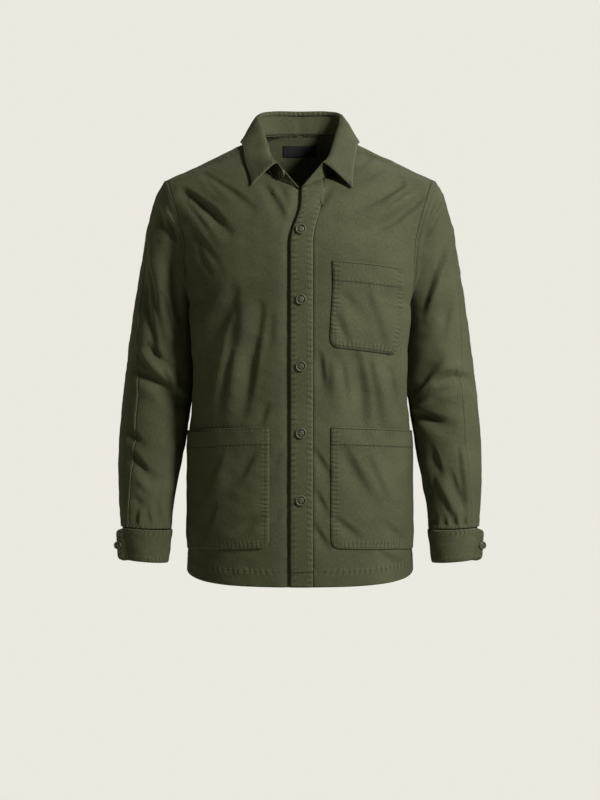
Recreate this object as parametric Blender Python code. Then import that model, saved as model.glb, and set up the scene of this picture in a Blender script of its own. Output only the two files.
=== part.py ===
"""Men's overshirt in cotton twill, filled out as worn with no wearer, collar open at the top button.

Every size below is in millimetres and is turned into metres when a mesh is made. X is across the body, with the
wearer's left at +X, the front faces -Y, and +Z is up. The origin lies between the shoulder points.
"""

import bmesh
import bpy
import numpy as np
from mathutils import Matrix, Vector

MM = 0.001
CLOTH = 2.0  # wall of one layer of twill with its seam allowance
SEAM = 0.3  # gap between two pieces that are sewn together
ON_CLOTH = 0.45  # gap under a piece that is sewn onto a panel

# Body. Each row runs from the centre line or neckline out to the side seam or armhole, as one curve with two handles.
# Columns: centre x, y, z; handle out from it x, y, z; side seam z, or the turn round the armhole; handle in x, y, z.
TORSO = (
    (0, -141, -741, 125, 0, 0, -716, 6, -80, -25),  # 0 front hem
    (0, -139, -600, 122, 0, 0, -600, 4, -79, 0),
    (0, -137, -437, 120, 0, 0, -437, 6, -79, 0),
    (0, -141, -352, 122, 0, 0, -352, 14, -81, 0),
    (0, -143, -285, 122, 0, 0, 180, 26, -78, 0),  # 4 armpit, front
    (0, -144, -262, 120, 0, 0, 158, 9, -52, 0),
    (0, -144, -230, 114, 0, 0, 130, 0, -38, 2),
    (0, -142, -185, 103, 0, -2, 105, -20, -37, 3),
    (0, -135, -140, 94, 0, -4, 82, -36, -33, 6),
    (0, -122, -92, 85, -3, -5, 62, -48, -26, 14),  # 9 neckline at the centre front
    (40, -92, -72, 60, -8, -3, 44, -58, -18, 18),
    (64, -52, -36, 52, -6, -11, 27, -58, -8, 22),
    (73, -14, -6, 50, 0, -20, 11, -55, 0, 23),  # 12 forward shoulder seam
    (75, 8, 8, 50, 2, -22, 0, -55, 0, 24),
    (66, 45, 18, 52, 8, -22, -25, -58, 8, 24),
    (36, 68, 23, 60, 14, -18, -45, -56, 20, 20),
    (0, 75, 24, 70, 4, -4, -62, -50, 32, 18),  # 16 neckline at the centre back
    (0, 98, -50, 80, 4, -6, -80, -44, 44, 12),
    (0, 118, -130, 95, 2, -4, -98, -32, 50, 6),
    (0, 129, -205, 105, 0, -2, -125, -10, 48, 2),
    (0, 132, -250, 112, 0, 0, -152, 1, 50, 0),
    (0, 132, -285, 115, 0, 0, -180, 16, 62, 0),  # 21 armpit, back
    (0, 128, -352, 115, 0, 0, -352, 8, 67, 0),
    (0, 121, -437, 115, 0, 0, -437, 2, 66, 0),
    (0, 124, -600, 118, 0, 0, -600, 2, 68, 0),
    (0, 131, -741, 120, 0, 0, -716, 2, 73, -25),  # 25 back hem
)
ARMPIT_FRONT, NECK_FRONT, SHOULDER_SEAM, NECK_BACK, ARMPIT_BACK, BACK_HEM = 4, 9, 12, 16, 21, 25

# Side seam. Columns: z, x before the arm presses it in, y.
SIDE_SEAM = ((-716, 190.5, 4), (-600, 189, 5), (-437, 190, 6), (-352, 191.5, 6), (-285, 184.8, 5))
ARM_PRESS = {"depth": 26.0, "y": 14.0, "y_width": 48.0, "z": -362.0, "z_width": 85.0}

ARMHOLE = {"top": (230.0, 0.0, -66.0), "armpit": (175.0, 5.0, -285.0), "front": 76.0, "back": 70.0}
ARMHOLE_NOTCH = {"front_in": 7.0, "front_low_out": 9.0, "back_low_out": 4.0}

# Front opening, given on the wearer's left. Above the first button the edge swings out to the open collar.
PLACKET_EDGE, PLACKET_WIDTH, PLACKET_SWING = -16.0, 37.0, 17.5
SWING_FROM, SWING_TO = -182.0, -92.0
PLACKET_RAISE = 1.0
PLACKET_TOP_TILT = 18.0
UNDERLAP_SINK, UNDERLAP_SWING = 2.8, 0.7

# Patch pockets on the fronts. Columns: z at the placket, at the pocket's inner edge, at x of the chest pocket's
# outer edge, and at the side; then the grid steps up to the next line.
PANEL_LINES = {
    "pocket bottom": (-678, -678, -683, -685, 6),
    "pocket top": (-481, -481, -486, -489, 4),
    "chest bottom": (-347, -351, -364, -372, 5),
    "chest top": (-207, -211, -221, -227, 4),
}
HEM_STEPS, SHOULDER_STEPS = 2, (6, 4)
POCKET_EDGES = ((-741, -678, -481, -351, -211, -150), (50, 50, 50, 47.5, 52, 52))  # inner edge: z, x
CHEST_EDGES = ((-741, -685, -489, -364, -221, -150), (158, 160, 160, 158.5, 167, 167))  # chest pocket's outer edge
POCKET_THICK, POCKET_ROUND = 1.8, 0.3

# Sleeve rings below the armhole. Columns: outer x, z; inner x, z; centre y; depth to the front; to the back; turn
# of the outer seam from the outer line.
SLEEVE = (
    (248, -100, 180, -292, 10, 72, 68, 22),
    (261, -148, 181, -303, 13, 70, 68, 26),
    (270, -200, 180, -319, 17, 68, 66, 30),
    (281, -267, 178, -341, 19, 66, 64, 38),
    (290, -330, 177, -373, 19, 65, 62, 46),
    (296.5, -385, 180, -412, 17, 62, 60, 54),
    (301, -425, 185.5, -442, 13, 60, 59, 60),
    (305, -470, 191, -481, 6, 58, 57, 62),
    (307, -520, 198, -526, -4, 54, 52, 63),
    (306.5, -570, 207, -575, -16, 50, 46, 60),
    (303, -620, 214, -622, -30, 45, 40, 54),
    (300.5, -648, 215.5, -652, -39, 41, 37, 50),
)
CUFF = ((301.5, -649, 213.5, -653.5, -39, 42, 38), (294, -702, 220, -708, -47, 37, 33))  # top and bottom ring
CUFF_THICK, CUFF_LAP_TURN, CUFF_TAB, CUFF_SINK, CUFF_ROUND = 2.6, 40.0, (307.5, 0.46), 3.5, 9.0

# Collar. Columns: row of the neckline in TORSO; roll line x, y, z; free edge x, y, z; its height over the body.
COLLAR = (
    (9.04, 38, -97, -48, 83.5, -104, -89, 3.5),
    (10, 45, -80, -40, 87, -72, -60, 2.4),
    (11, 52, -40, -22, 92, -36, -31, 3.0),
    (12, 57.5, -12, -1, 96, -8, -8, 3.2),
    (13, 63, 15, 21, 98.5, 16, -3, 4.0),
    (14, 70.5, 45, 52, 92, 50, 3, 5.5),
    (15, 47, 70, 62, 58, 84, 12, 7.0),
    (16, 0, 77, 63, 0, 90, 14, 8.0),
)
STAND_THICK, LEAF_THICK, STAND_LIFT, LEAF_GAP = 2.0, 2.2, 0.6, 0.6

LABEL = {"width": 59.0, "z": (7.0, -12.0), "thick": 0.8}
BUTTON_Z = (-160, -274, -382, -491, -600)
BUTTON_X, BUTTON_RADIUS, CUFF_BUTTON_RADIUS, BUTTON_THICK = 1.5, 8.75, 6.5, 3.0
BUTTON_SEAT, STAND_BUTTON_SEAT = 0.45, 1.2  # gap under a button; the stand curves up to meet its button's rim

# Folds seen from the front and from behind: half-width, height (sunk below zero), then the x and z of their lines.
FRONT_FOLDS = (
    (14, -5.0, (-186, -95), (-148, -128), (-122, -158)),
    (14, -2.5, (-152, -65), (-110, -97), (-78, -123)),
    (15, -3.0, (-169, -171), (-135, -217)),
    (12, -2.5, (-56, -87), (-27, -137)),
    (17, -5.0, (-115, -249), (-135, -336)),
    (17, 3.0, (-97, -275), (-100, -320)),
    (14, -4.0, (-68, -277), (-64, -336), (-81, -408), (-92, -475)),
    (15, 3.5, (-105, -367), (-118, -461)),
    (13, -4.5, (166, -83), (94, -123)),
    (13, -4.5, (199, -105), (115, -163)),
    (12, 3.0, (183, -96), (105, -143)),
    (18, -5.0, (94, -375), (104, -429), (102, -481)),
    (15, 4.5, (123, -380), (144, -474)),
    (13, -3.5, (64, -262), (92, -323)),
    (13, 3.0, (115, -262), (148, -346)),
    (14, -4.0, (74, -523), (102, -579), (115, -600)),
)
BACK_FOLDS = (
    (20, -3.5, (-170, -150), (-120, -195), (-60, -225)),
    (20, -3.5, (172, -138), (130, -186), (66, -212)),
    (18, -5.0, (-96, -300), (-118, -380), (-104, -450)),
    (18, -5.0, (104, -310), (122, -392), (100, -462)),
    (16, 3.5, (-60, -330), (-70, -430)),
    (16, 3.5, (72, -340), (66, -440)),
    (15, -3.5, (-20, -360), (-34, -470)),
    (16, -3.0, (30, -380), (44, -500)),
    (16, -3.0, (-120, -520), (-96, -620)),
    (16, -3.0, (118, -530), (96, -640)),
)
SLEEVE_FRONT_FOLDS = (
    (12, -4.5, (-234, -122), (-197, -182)),
    (11, 3.0, (-222, -118), (-196, -160)),
    (13, -4.0, (-257, -205), (-250, -305)),
    (13, 3.5, (-246, -195), (-226, -262)),
    (12, -6.0, (-272, -390), (-236, -407), (-203, -432)),
    (12, 4.5, (-262, -366), (-228, -396)),
    (12, -3.5, (-286, -490), (-268, -508)),
    (12, -4.0, (-274, -537), (-240, -566)),
    (12, -4.5, (224, -100), (207, -152)),
    (13, -4.5, (249, -172), (224, -228), (206, -276)),
    (13, 3.5, (252, -150), (247, -210)),
    (12, -6.0, (202, -462), (247, -476)),
    (12, -4.5, (190, -428), (228, -378)),
    (12, 4.5, (194, -457), (226, -440)),
    (12, -4.0, (235, -406), (281, -399), (294, -414)),
    (12, 3.0, (231, -572), (262, -636)),
)
SLEEVE_BACK_FOLDS = (
    (12, -4.0, (-236, -130), (-206, -190)),
    (13, -3.5, (-258, -215), (-242, -300)),
    (12, -5.0, (-290, -404), (-248, -424), (-212, -416)),
    (12, 4.0, (-284, -380), (-240, -398)),
    (12, -3.5, (-282, -508), (-246, -540)),
    (12, -4.0, (238, -126), (208, -186)),
    (13, -3.5, (260, -222), (240, -296)),
    (12, -5.0, (288, -398), (246, -420), (210, -410)),
    (12, 4.0, (280, -374), (238, -394)),
    (12, -3.5, (284, -512), (250, -548)),
)

OLIVE = (0.085, 0.088, 0.050, 1.0)
BUTTON_OLIVE = (0.090, 0.086, 0.050, 1.0)
LABEL_BLACK = (0.012, 0.012, 0.012, 1.0)


def ease(low, high, at):
    """0 below low, 1 above high, and smooth between."""
    t = np.clip((np.asarray(at, float) - low) / (high - low), 0, 1)
    return t * t * (3 - 2 * t)


def smooth(knots, values, at, corners=()):
    """The values at `at`, on a smooth curve through one value per knot that may turn sharply at the corner knots."""
    knots, values = np.asarray(knots, float), np.asarray(values, float)
    at = np.clip(np.asarray(at, float), knots[0], knots[-1])
    low = np.clip(np.searchsorted(knots, at, side="right") - 1, 0, len(knots) - 2)
    across = (slice(None),) + (None,) * (values.ndim - 1)
    span = np.diff(knots)[across]
    slope = np.diff(values, axis=0) / span
    start, end = slope.copy(), slope.copy()
    for k in range(1, len(knots) - 1):
        if k not in corners:
            mean = (slope[k - 1] * span[k] + slope[k] * span[k - 1]) / (span[k - 1] + span[k])
            end[k - 1] = start[k] = mean
    t = (at - knots[low]) / np.diff(knots)[low]
    t = t.reshape(t.shape + (1,) * (values.ndim - 1))
    rise = (t**3 - 2 * t**2 + t) * start[low] + (t**3 - t**2) * end[low]
    return values[low] + (3 * t**2 - 2 * t**3) * (values[low + 1] - values[low]) + span[low] * rise


def unit(vectors):
    return vectors / np.linalg.norm(vectors, axis=-1, keepdims=True)


def bezier(t, first, lead, trail, last):
    t = t[..., None]
    return (1 - t) ** 3 * first + 3 * (1 - t) ** 2 * t * lead + 3 * (1 - t) * t**2 * trail + t**3 * last


def fold_height(folds, x, z):
    """Height over the plain panel of all the folds at x, z."""
    total = np.zeros_like(x)
    for width, height, *line in folds:
        near = np.full_like(x, 1e6)
        for (x0, z0), (x1, z1) in zip(line, line[1:]):
            along = ((x - x0) * (x1 - x0) + (z - z0) * (z1 - z0)) / ((x1 - x0) ** 2 + (z1 - z0) ** 2)
            along = np.clip(along, 0, 1)
            near = np.minimum(near, np.hypot(x - x0 - along * (x1 - x0), z - z0 - along * (z1 - z0)))
        total += height * np.exp(-((near / width) ** 2))
    return total


def armhole(turn):
    """The seam of body and sleeve: 0 at the shoulder, 180 at the armpit, over the front, and negative over the back."""
    turn = np.asarray(turn, float)
    angle = np.radians(turn)
    top, armpit = np.array(ARMHOLE["top"]), np.array(ARMHOLE["armpit"])
    point = (top + armpit) / 2 + np.cos(angle)[..., None] * (top - armpit) / 2
    front = turn > 0
    point[..., 1] -= np.sign(turn) * np.where(front, ARMHOLE["front"], ARMHOLE["back"]) * np.abs(np.sin(angle)) ** 0.92
    low = np.maximum(0, -np.sin(2 * np.abs(angle)))
    notch = ARMHOLE_NOTCH["front_low_out"] * low - ARMHOLE_NOTCH["front_in"] * np.sin(angle) ** 2
    point[..., 0] += np.where(front, notch, ARMHOLE_NOTCH["back_low_out"] * low)
    return point


def armhole_inward(turn):
    """Direction in which both walls have their thickness along the armhole seam."""
    angle = np.radians(np.asarray(turn, float))
    return unit(np.stack([np.full_like(angle, -0.35), np.sin(angle), -np.cos(angle)], axis=-1))


def armhole_outward():
    """Direction square to the armhole, towards the sleeve."""
    across = np.array(ARMHOLE["top"]) - np.array(ARMHOLE["armpit"])
    return unit(np.array((across[2], 0, -across[0])))


def arm_press(point):
    """How far the hanging arm presses the side of the body in."""
    y = np.exp(-(((point[..., 1] - ARM_PRESS["y"]) / ARM_PRESS["y_width"]) ** 2))
    z = np.exp(-(((point[..., 2] - ARM_PRESS["z"]) / ARM_PRESS["z_width"]) ** 2))
    return ARM_PRESS["depth"] * y * z * ease(90, 150, point[..., 0])


def torso_edge(w):
    """Outer end of the body's rows, and the turn round the armhole there."""
    table = np.array(TORSO, float)
    knots = np.arange(len(table))
    below = w < ARMPIT_FRONT
    front_z = smooth(knots[: ARMPIT_FRONT + 1], np.append(table[:ARMPIT_FRONT, 6], ARMHOLE["armpit"][2]), w)
    back_z = smooth(knots[ARMPIT_BACK:], np.append(ARMHOLE["armpit"][2], table[ARMPIT_BACK + 1 :, 6]), w)
    turn = smooth(knots[ARMPIT_FRONT : ARMPIT_BACK + 1], table[ARMPIT_FRONT : ARMPIT_BACK + 1, 6], w)
    z = np.where(below, front_z, back_z)
    seam = np.array(SIDE_SEAM, float)
    armpit = np.array(ARMHOLE["armpit"])
    seam[-1, 1] = armpit[0] + arm_press(armpit)
    side = np.concatenate([smooth(seam[:, 0], seam[:, 1:], z), z[..., None]], axis=-1)
    hole = armhole(turn)
    hole[..., 0] += arm_press(hole)
    on_side = below | (w > ARMPIT_BACK)
    return np.where(on_side[..., None], side, hole), turn, on_side


def plain_torso(u, w):
    """Outer face of the half body before its folds."""
    table = np.array(TORSO, float)
    knots = np.arange(len(table))
    centre = smooth(knots, table[:, :3], w, (NECK_FRONT, NECK_BACK))
    lead = centre + smooth(knots, table[:, 3:6], w)
    edge, _, _ = torso_edge(w)
    trail = edge + smooth(knots, table[:, 7:10], w)
    point = bezier(u, centre, lead, trail, edge)
    point[..., 0] -= arm_press(point)
    return point


def slopes(surface, u, w, most_w):
    """How the surface runs along u and along w, kept on its own side of a neckline or centre at u = 0."""
    step = 1e-3
    low = np.where((u >= 0) & (u < step), u, u - step)
    along_u = surface(u + step, w) - surface(low, w)
    w_low, w_high = np.clip(w - 10 * step, 0, most_w), np.clip(w + 10 * step, 0, most_w)
    along_w = (surface(u, w_high) - surface(u, w_low)) / (w_high - w_low)[..., None]
    return along_u / (u + step - low)[..., None], along_w


def torso(u, w, side):
    """Outer face of the body with its folds; u is 0 at the centre or neckline and 1 at the side, -u lies past the centre."""
    u, w = np.broadcast_arrays(np.asarray(u, float), np.asarray(w, float))
    along_u, along_w = slopes(plain_torso, np.abs(u), w, BACK_HEM)
    point, normal = plain_torso(np.abs(u), w), unit(np.cross(along_u, along_w))
    flip = np.where(u < 0, -side, side)
    point[..., 0] *= flip
    normal[..., 0] *= flip
    at_neck = ease(8.4, 9, w) * ease(-17, -16.4, -w)
    fade = ease(0, 0.12, 1 - np.abs(u)) * (1 - at_neck * (1 - ease(0, 0.12, np.abs(u))))
    behind = ease(12, 14, w)
    height = (1 - behind) * fold_height(FRONT_FOLDS, point[..., 0], point[..., 2])
    height += behind * fold_height(BACK_FOLDS, point[..., 0], point[..., 2])
    fade = fade * (1 - (1 - ease(6, 36, np.abs(point[..., 0]))) * ease(-120, -100, -point[..., 2]) * (1 - behind))
    return point + normal * (height * fade)[..., None]


def torso_normal(u, w, side):
    u, w = np.broadcast_arrays(np.asarray(u, float), np.asarray(w, float))
    along_u, along_w = slopes(lambda a, b: torso(a, b, side), u, w, BACK_HEM)
    return unit(np.cross(along_u, along_w)) * side


def find_on_torso(target, side, start_w, weights=(1, 0, 1)):
    """u and w of the target on the body, seen along the axis of weight 0, or nearest to it when all weights are 1."""
    target = np.asarray(target, float)
    u = np.clip(target[..., 0] * side / 200, -0.2, 0.98)
    w = np.broadcast_to(np.asarray(start_w, float), u.shape).copy()
    for _ in range(12):
        surface = lambda a, b: torso(a, b, side)
        along_u, along_w = (s * weights for s in slopes(surface, u, w, BACK_HEM))
        miss = (target - surface(u, w)) * weights
        uu, uw, ww = (along_u**2).sum(-1), (along_u * along_w).sum(-1), (along_w**2).sum(-1)
        mu, mw = (along_u * miss).sum(-1), (along_w * miss).sum(-1)
        scale = uu * ww - uw**2 + 1e-9
        u = u + np.clip((mu * ww - mw * uw) / scale, -0.15, 0.15)
        w = np.clip(w + np.clip((mw * uu - mu * uw) / scale, -1, 1), 0, BACK_HEM)
        u = np.where((w > NECK_FRONT) & (w < NECK_BACK), np.maximum(u, 0), u)
    return u, w


def front_row_of(z):
    """Row of the body's front at height z on the centre line, to start a search from."""
    rows = np.array(TORSO, float)[: SHOULDER_SEAM + 1]
    return np.interp(z, rows[:, 2], np.arange(len(rows)))


def on_front(x, z, side):
    """u and w of the front at x, towards the wearer's own side, and z."""
    x, z = np.broadcast_arrays(np.asarray(x, float), np.asarray(z, float))
    target = np.stack([x * side, np.zeros_like(x), z], axis=-1)
    return find_on_torso(target, side, front_row_of(z))


def placket_swing(z):
    return PLACKET_SWING * ease(SWING_FROM, SWING_TO, z)


def front_edge(z, side):
    """x of a front's own inner edge: beside the placket on the left, under it on the right."""
    if side > 0:
        return PLACKET_EDGE + PLACKET_WIDTH + SEAM + placket_swing(z)
    return PLACKET_EDGE + UNDERLAP_SWING * placket_swing(z)


def front_net(side):
    """u and w of a front panel's grid, with the rows and columns where its pockets start and end."""
    table = np.array(TORSO, float)
    side_w = np.linspace(0, SHOULDER_SEAM, 400)
    side_z = torso_edge(side_w)[0][:, 2]
    neck_x = smooth(np.arange(len(table)), table[:, 0], side_w, (NECK_FRONT, NECK_BACK))
    past_neck = side_w >= NECK_FRONT
    corner = np.interp(front_edge(SWING_TO, side), neck_x[past_neck], side_w[past_neck])
    knots_u, knots_w, steps = [], [], []
    first_u = [on_front(x, z, side)[0] for x, z in ((50, -741), (158, -737))]
    knots_u.append([first_u[0], first_u[1], 1])
    knots_w.append([0, 0, 0, 0])
    steps.append(HEM_STEPS)
    for z_in, z_pocket, z_chest, z_side, count in PANEL_LINES.values():
        w_in = on_front(front_edge(z_in, side), z_in, side)[1]
        u_pocket, w_pocket = on_front(np.interp(z_pocket, *POCKET_EDGES), z_pocket, side)
        u_chest, w_chest = on_front(np.interp(z_chest, *CHEST_EDGES), z_chest, side)
        knots_u.append([u_pocket, u_chest, 1])
        knots_w.append([w_in, w_pocket, w_chest, np.interp(z_side, side_z, side_w)])
        steps.append(count)
    knots_u.append([0.1, 0.7, 1])
    knots_w.append([corner, corner + 0.1, corner + 0.1, 9.6])
    steps.append(SHOULDER_STEPS[side > 0])
    knots_u.append([0.12, 0.62, 1])
    knots_w.append([SHOULDER_SEAM] * 4)
    rows = np.concatenate([np.linspace(k, k + 1, n, endpoint=False) for k, n in enumerate(steps)] + [[len(steps)]])
    columns = (2 if side > 0 else 4, 6, 5)
    line = np.arange(len(knots_w))
    net_w = np.array([np.interp(rows, line, [k[c] for k in knots_w]) for c in range(4)]).T
    net_u = np.array([np.interp(rows, line, [k[c] for k in knots_u]) for c in range(3)]).T
    edge_w = net_w[:, 0]
    edge_u = np.zeros_like(edge_w)
    for _ in range(12):
        point = torso(edge_u, edge_w, side)
        along = slopes(lambda a, b: torso(a, b, side), edge_u, edge_w, BACK_HEM)[0][..., 0]
        edge_u = edge_u + (front_edge(point[..., 2], side) * side - point[..., 0]) / along
        edge_u = np.where(edge_w >= NECK_FRONT, np.maximum(edge_u, 0), edge_u)
    edge_u[edge_w >= corner - 1e-6] = 0
    net_u = np.concatenate([edge_u[:, None], net_u], axis=1)
    u = np.concatenate([np.linspace(net_u[:, k], net_u[:, k + 1], n, endpoint=False) for k, n in enumerate(columns)])
    w = np.concatenate([np.linspace(net_w[:, k], net_w[:, k + 1], n, endpoint=False) for k, n in enumerate(columns)])
    u, w = np.vstack([u, net_u[:, 3]]).T, np.vstack([w, net_w[:, 3]]).T
    row_at = dict(zip(("hem", *PANEL_LINES, "neck", "shoulder"), np.cumsum([0, *steps])))
    return u, w, row_at, np.cumsum([0, *columns])


def seam_edges(outer, inward, w, side, at_side):
    """Sets the edge of a body panel back by half the seam, with the wall turned as the sleeve's is."""
    _, turn, on_side = torso_edge(w)
    hole = np.where(on_side[..., None], (-1.0, 0.0, 0.0), armhole_inward(turn))
    back = np.where(on_side[..., None], (0.0, at_side, 0.0), -armhole_outward()) * SEAM / 2
    outer += back * (side, 1, 1)
    inward[:] = hole * (side, 1, 1)


def front_faces(side):
    """Outer points, inward directions and net of a front panel."""
    u, w, row_at, col_at = front_net(side)
    outer, inward = torso(u, w, side), -torso_normal(u, w, side)
    if side < 0:
        lap = -PLACKET_EDGE - placket_swing(outer[..., 2])
        under = 1 - ease(2, 20, outer[..., 0] * side - lap)
        outer = outer + inward * (UNDERLAP_SINK * under)[..., None]
    seam_edges(outer[:, -1], inward[:, -1], w[:, -1], side, -1)
    outer[-1] += (0, -SEAM / 2, 0)
    return outer, inward, row_at, col_at


def material(name, colour, roughness):
    made = bpy.data.materials.new(name)
    made.use_nodes = True
    shader = made.node_tree.nodes["Principled BSDF"]
    shader.inputs["Base Color"].default_value = colour
    shader.inputs["Roughness"].default_value = roughness
    shader.inputs["Metallic"].default_value = 0.0
    return made


def add_object(name, bm, finish):
    mesh = bpy.data.meshes.new(name)
    bm.to_mesh(mesh)
    bm.free()
    mesh.materials.append(finish)
    mesh.shade_smooth()
    mesh.set_sharp_from_angle(angle=np.radians(40))
    made = bpy.data.objects.new(name, mesh)
    bpy.context.scene.collection.objects.link(made)
    made.parent = bpy.data.objects["overshirt"]
    return made


def cloth_wall(name, patches, finish):
    """One closed wall: each patch is a grid of outer points and the same grid of inner points, in millimetres."""
    bm = bmesh.new()
    place = bm.verts.layers.float_vector.new("inner")
    for outer, inner in patches:
        rows, columns = outer.shape[:2]
        made = bmesh.ops.create_grid(bm, x_segments=columns - 1, y_segments=rows - 1, size=1)["verts"]
        for vert in made:
            column = round((vert.co.x + 1) / 2 * (columns - 1))
            row = round((vert.co.y + 1) / 2 * (rows - 1))
            vert.co = outer[row, column] * MM
            vert[place] = inner[row, column] * MM
    bmesh.ops.remove_doubles(bm, verts=bm.verts, dist=1e-6)
    sheet = set(bm.verts)
    bmesh.ops.extrude_face_region(bm, geom=bm.faces[:])
    for vert in bm.verts:
        if vert not in sheet:
            vert.co = vert[place]
    bmesh.ops.recalc_face_normals(bm, faces=bm.faces)
    bm.verts.layers.float_vector.remove(place)
    return add_object(name, bm, finish)


def wall(name, outer, inward, thick, finish):
    return cloth_wall(name, [(outer, outer + inward * thick)], finish)


def make_pocket(name, front, rows, columns, finish, rounded):
    """A patch pocket over the front's own points; `rounded` lists its rounded corners as row and column ends."""
    outer, inward, _, _ = front
    part = (slice(rows[0], rows[1] + 1), slice(columns[0], columns[1] + 1))
    outer, inward = outer[part].copy(), inward[part]
    for row, column in rounded:
        beside = (1 if row == 0 else -2, 1 if column == 0 else -2)
        outer[row, column] += (outer[beside] - outer[row, column]) * POCKET_ROUND
    raised = outer - inward * (ON_CLOTH + POCKET_THICK)
    wall(name, raised, inward, POCKET_THICK, finish)


def make_fronts(finish):
    right, left = front_faces(-1), front_faces(1)
    wall("front_right", right[0], right[1], CLOTH, finish)
    wall("front_left", left[0], left[1], CLOTH, finish)
    for name, front in (("pocket_right", right), ("pocket_left", left)):
        rows, columns = front[2], front[3]
        span = (rows["pocket bottom"], rows["pocket top"])
        make_pocket(name, front, span, (columns[1], columns[3]), finish, [(0, 0)])
    rows, columns = left[2], left[3]
    span = (rows["chest bottom"], rows["chest top"])
    make_pocket("pocket_chest", left, span, (columns[1], columns[2]), finish, [(0, 0), (0, -1)])
    return left


def placket_point(x, z):
    u, w = on_front(x, z, 1)
    return torso(u, w, 1), torso_normal(u, w, 1)


def make_placket(left, finish):
    """The strip on the left front, on the rows of the panel that it is sewn to, up to the neckline."""
    rows = slice(0, left[2]["neck"] + 1)
    edge_z = left[0][rows, 0, 2]
    across = np.linspace(0, 1, 5)
    tilt = PLACKET_TOP_TILT * ease(-190, SWING_TO + 8, edge_z)[:, None] * (across - 1)
    z = edge_z[:, None] + tilt
    x = PLACKET_EDGE + placket_swing(edge_z)[:, None] + PLACKET_WIDTH * across
    point, normal = placket_point(x, z)
    outer = point + normal * PLACKET_RAISE
    wall("placket_left", outer, -normal, CLOTH, finish)


def make_back(finish):
    """Both halves from the forward shoulder seam over the shoulder to the hem, joined down the centre."""
    fall = TORSO[ARMPIT_BACK][2] - np.array(TORSO, float)[ARMPIT_BACK:, 2]
    below = ARMPIT_BACK + np.interp(np.linspace(0, fall[-1], 12)[1:], fall, np.arange(len(fall)))
    above = np.linspace(NECK_BACK, ARMPIT_BACK, 16)[1:]
    w = np.concatenate([np.linspace(SHOULDER_SEAM, NECK_BACK, 9), above, below])
    u = np.linspace(0, 1, 12)
    w, u = np.meshgrid(w, u, indexing="ij")
    patches = []
    for side in (1, -1):
        outer, inward = torso(u, w, side), -torso_normal(u, w, side)
        seam_edges(outer[:, -1], inward[:, -1], w[:, -1], side, 1)
        outer[0] += (0, SEAM / 2, 0)
        centre = w[:, 0] >= NECK_BACK
        outer[centre, 0, 0] = 0
        inward[centre, 0, 0] = 0
        patches.append((outer, outer + inward * CLOTH))
    cloth_wall("back", patches, finish)


def ring_point(turn, sizes):
    """A point on an oval ring of a sleeve or cuff."""
    outer_x, outer_z, inner_x, inner_z, y, front, back = (sizes[..., k] for k in range(7))
    angle = np.radians(turn)
    across = np.cos(angle)
    depth = np.where(turn > 0, front, back) * np.sin(angle)
    x = (outer_x + inner_x) / 2 + across * (outer_x - inner_x) / 2
    z = (outer_z + inner_z) / 2 + across * (outer_z - inner_z) / 2
    return np.stack([x, y - depth, z], axis=-1)


def plain_sleeve(turn, s):
    """Outer face of the left sleeve before its folds; s is 0 at the armhole and counts the rings."""
    table = np.array(SLEEVE, float)
    knots = np.arange(1, len(table) + 1)
    ring = ring_point(turn, smooth(knots, table[:, :7], np.maximum(s, 1)))
    first = ring_point(turn, np.broadcast_to(table[0, :7], turn.shape + (7,)))
    after = ring_point(turn, smooth(knots, table[:, :7], np.full_like(turn, 1.01)))
    start = armhole(turn) + armhole_outward() * SEAM / 2
    t = np.clip(s, 0, 1)[..., None]
    rise = (t**3 - 2 * t**2 + t) * (first - start) + (t**3 - t**2) * (after - first) * 100
    cap = start + (3 * t**2 - 2 * t**3) * (first - start) + rise
    return np.where((s < 1)[..., None], cap, ring)


def sleeve(turn, s, side):
    turn, s = np.broadcast_arrays(np.asarray(turn, float), np.asarray(s, float))
    point, normal = plain_sleeve(turn, s), sleeve_normal(plain_sleeve, turn, s)
    fade = ease(0, 0.8, s) * ease(-len(SLEEVE), 0.6 - len(SLEEVE), -s)
    facing = np.sin(np.radians(turn))
    height = ease(0, 0.4, facing) * fold_height(SLEEVE_FRONT_FOLDS, point[..., 0] * side, point[..., 2])
    height += ease(0, 0.4, -facing) * fold_height(SLEEVE_BACK_FOLDS, point[..., 0] * side, point[..., 2])
    return (point + normal * (height * fade)[..., None]) * (side, 1, 1)


def sleeve_normal(surface, turn, s):
    """Outward direction of the left sleeve's face."""
    most = len(SLEEVE)
    low, high = np.clip(s - 0.01, 0, most), np.clip(s + 0.01, 0, most)
    return unit(np.cross(surface(turn + 0.2, s) - surface(turn - 0.2, s), surface(turn, high) - surface(turn, low)))


def make_sleeve(side, word, finish):
    table = np.array(SLEEVE, float)
    rows = np.concatenate([np.linspace(0, 2, 5), np.linspace(2, len(table), 19)[1:]])
    seam = smooth(np.arange(len(table) + 1), np.append(16, table[:, 7]), rows)
    gap = 0.15
    for name, far, count in (("fore", 180 - gap, 9), ("hind", gap - 180, 13)):
        near = seam + (gap if far > 0 else -gap)
        turn = np.linspace(near, np.full_like(near, far), count).T
        s = np.broadcast_to(rows[:, None], turn.shape)
        outer = sleeve(turn, s, side)
        mirrored = lambda a, b: sleeve(a, b, side) * (side, 1, 1)
        inward = -sleeve_normal(mirrored, turn, s)
        inward[0] = armhole_inward(turn[0])
        wall(f"sleeve_{word}_{name}", outer, inward * (side, 1, 1), CLOTH, finish)


def cuff_path():
    """The cuff seen along the arm, from the lap's free end round the front and inside to the end under the lap.

    Columns: turn, share of the lap's straight run (1 at the free end), depth below the outer layer."""
    lap = [(CUFF_LAP_TURN, share, 0.0) for share in (1, 0.8, 0.55, 0.25)]
    turns = np.linspace(CUFF_LAP_TURN, 360 + CUFF_LAP_TURN - 6, 30)
    return np.array(lap + [(turn, 0.0, CUFF_SINK * ease(318, 352, turn)) for turn in turns])


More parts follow.
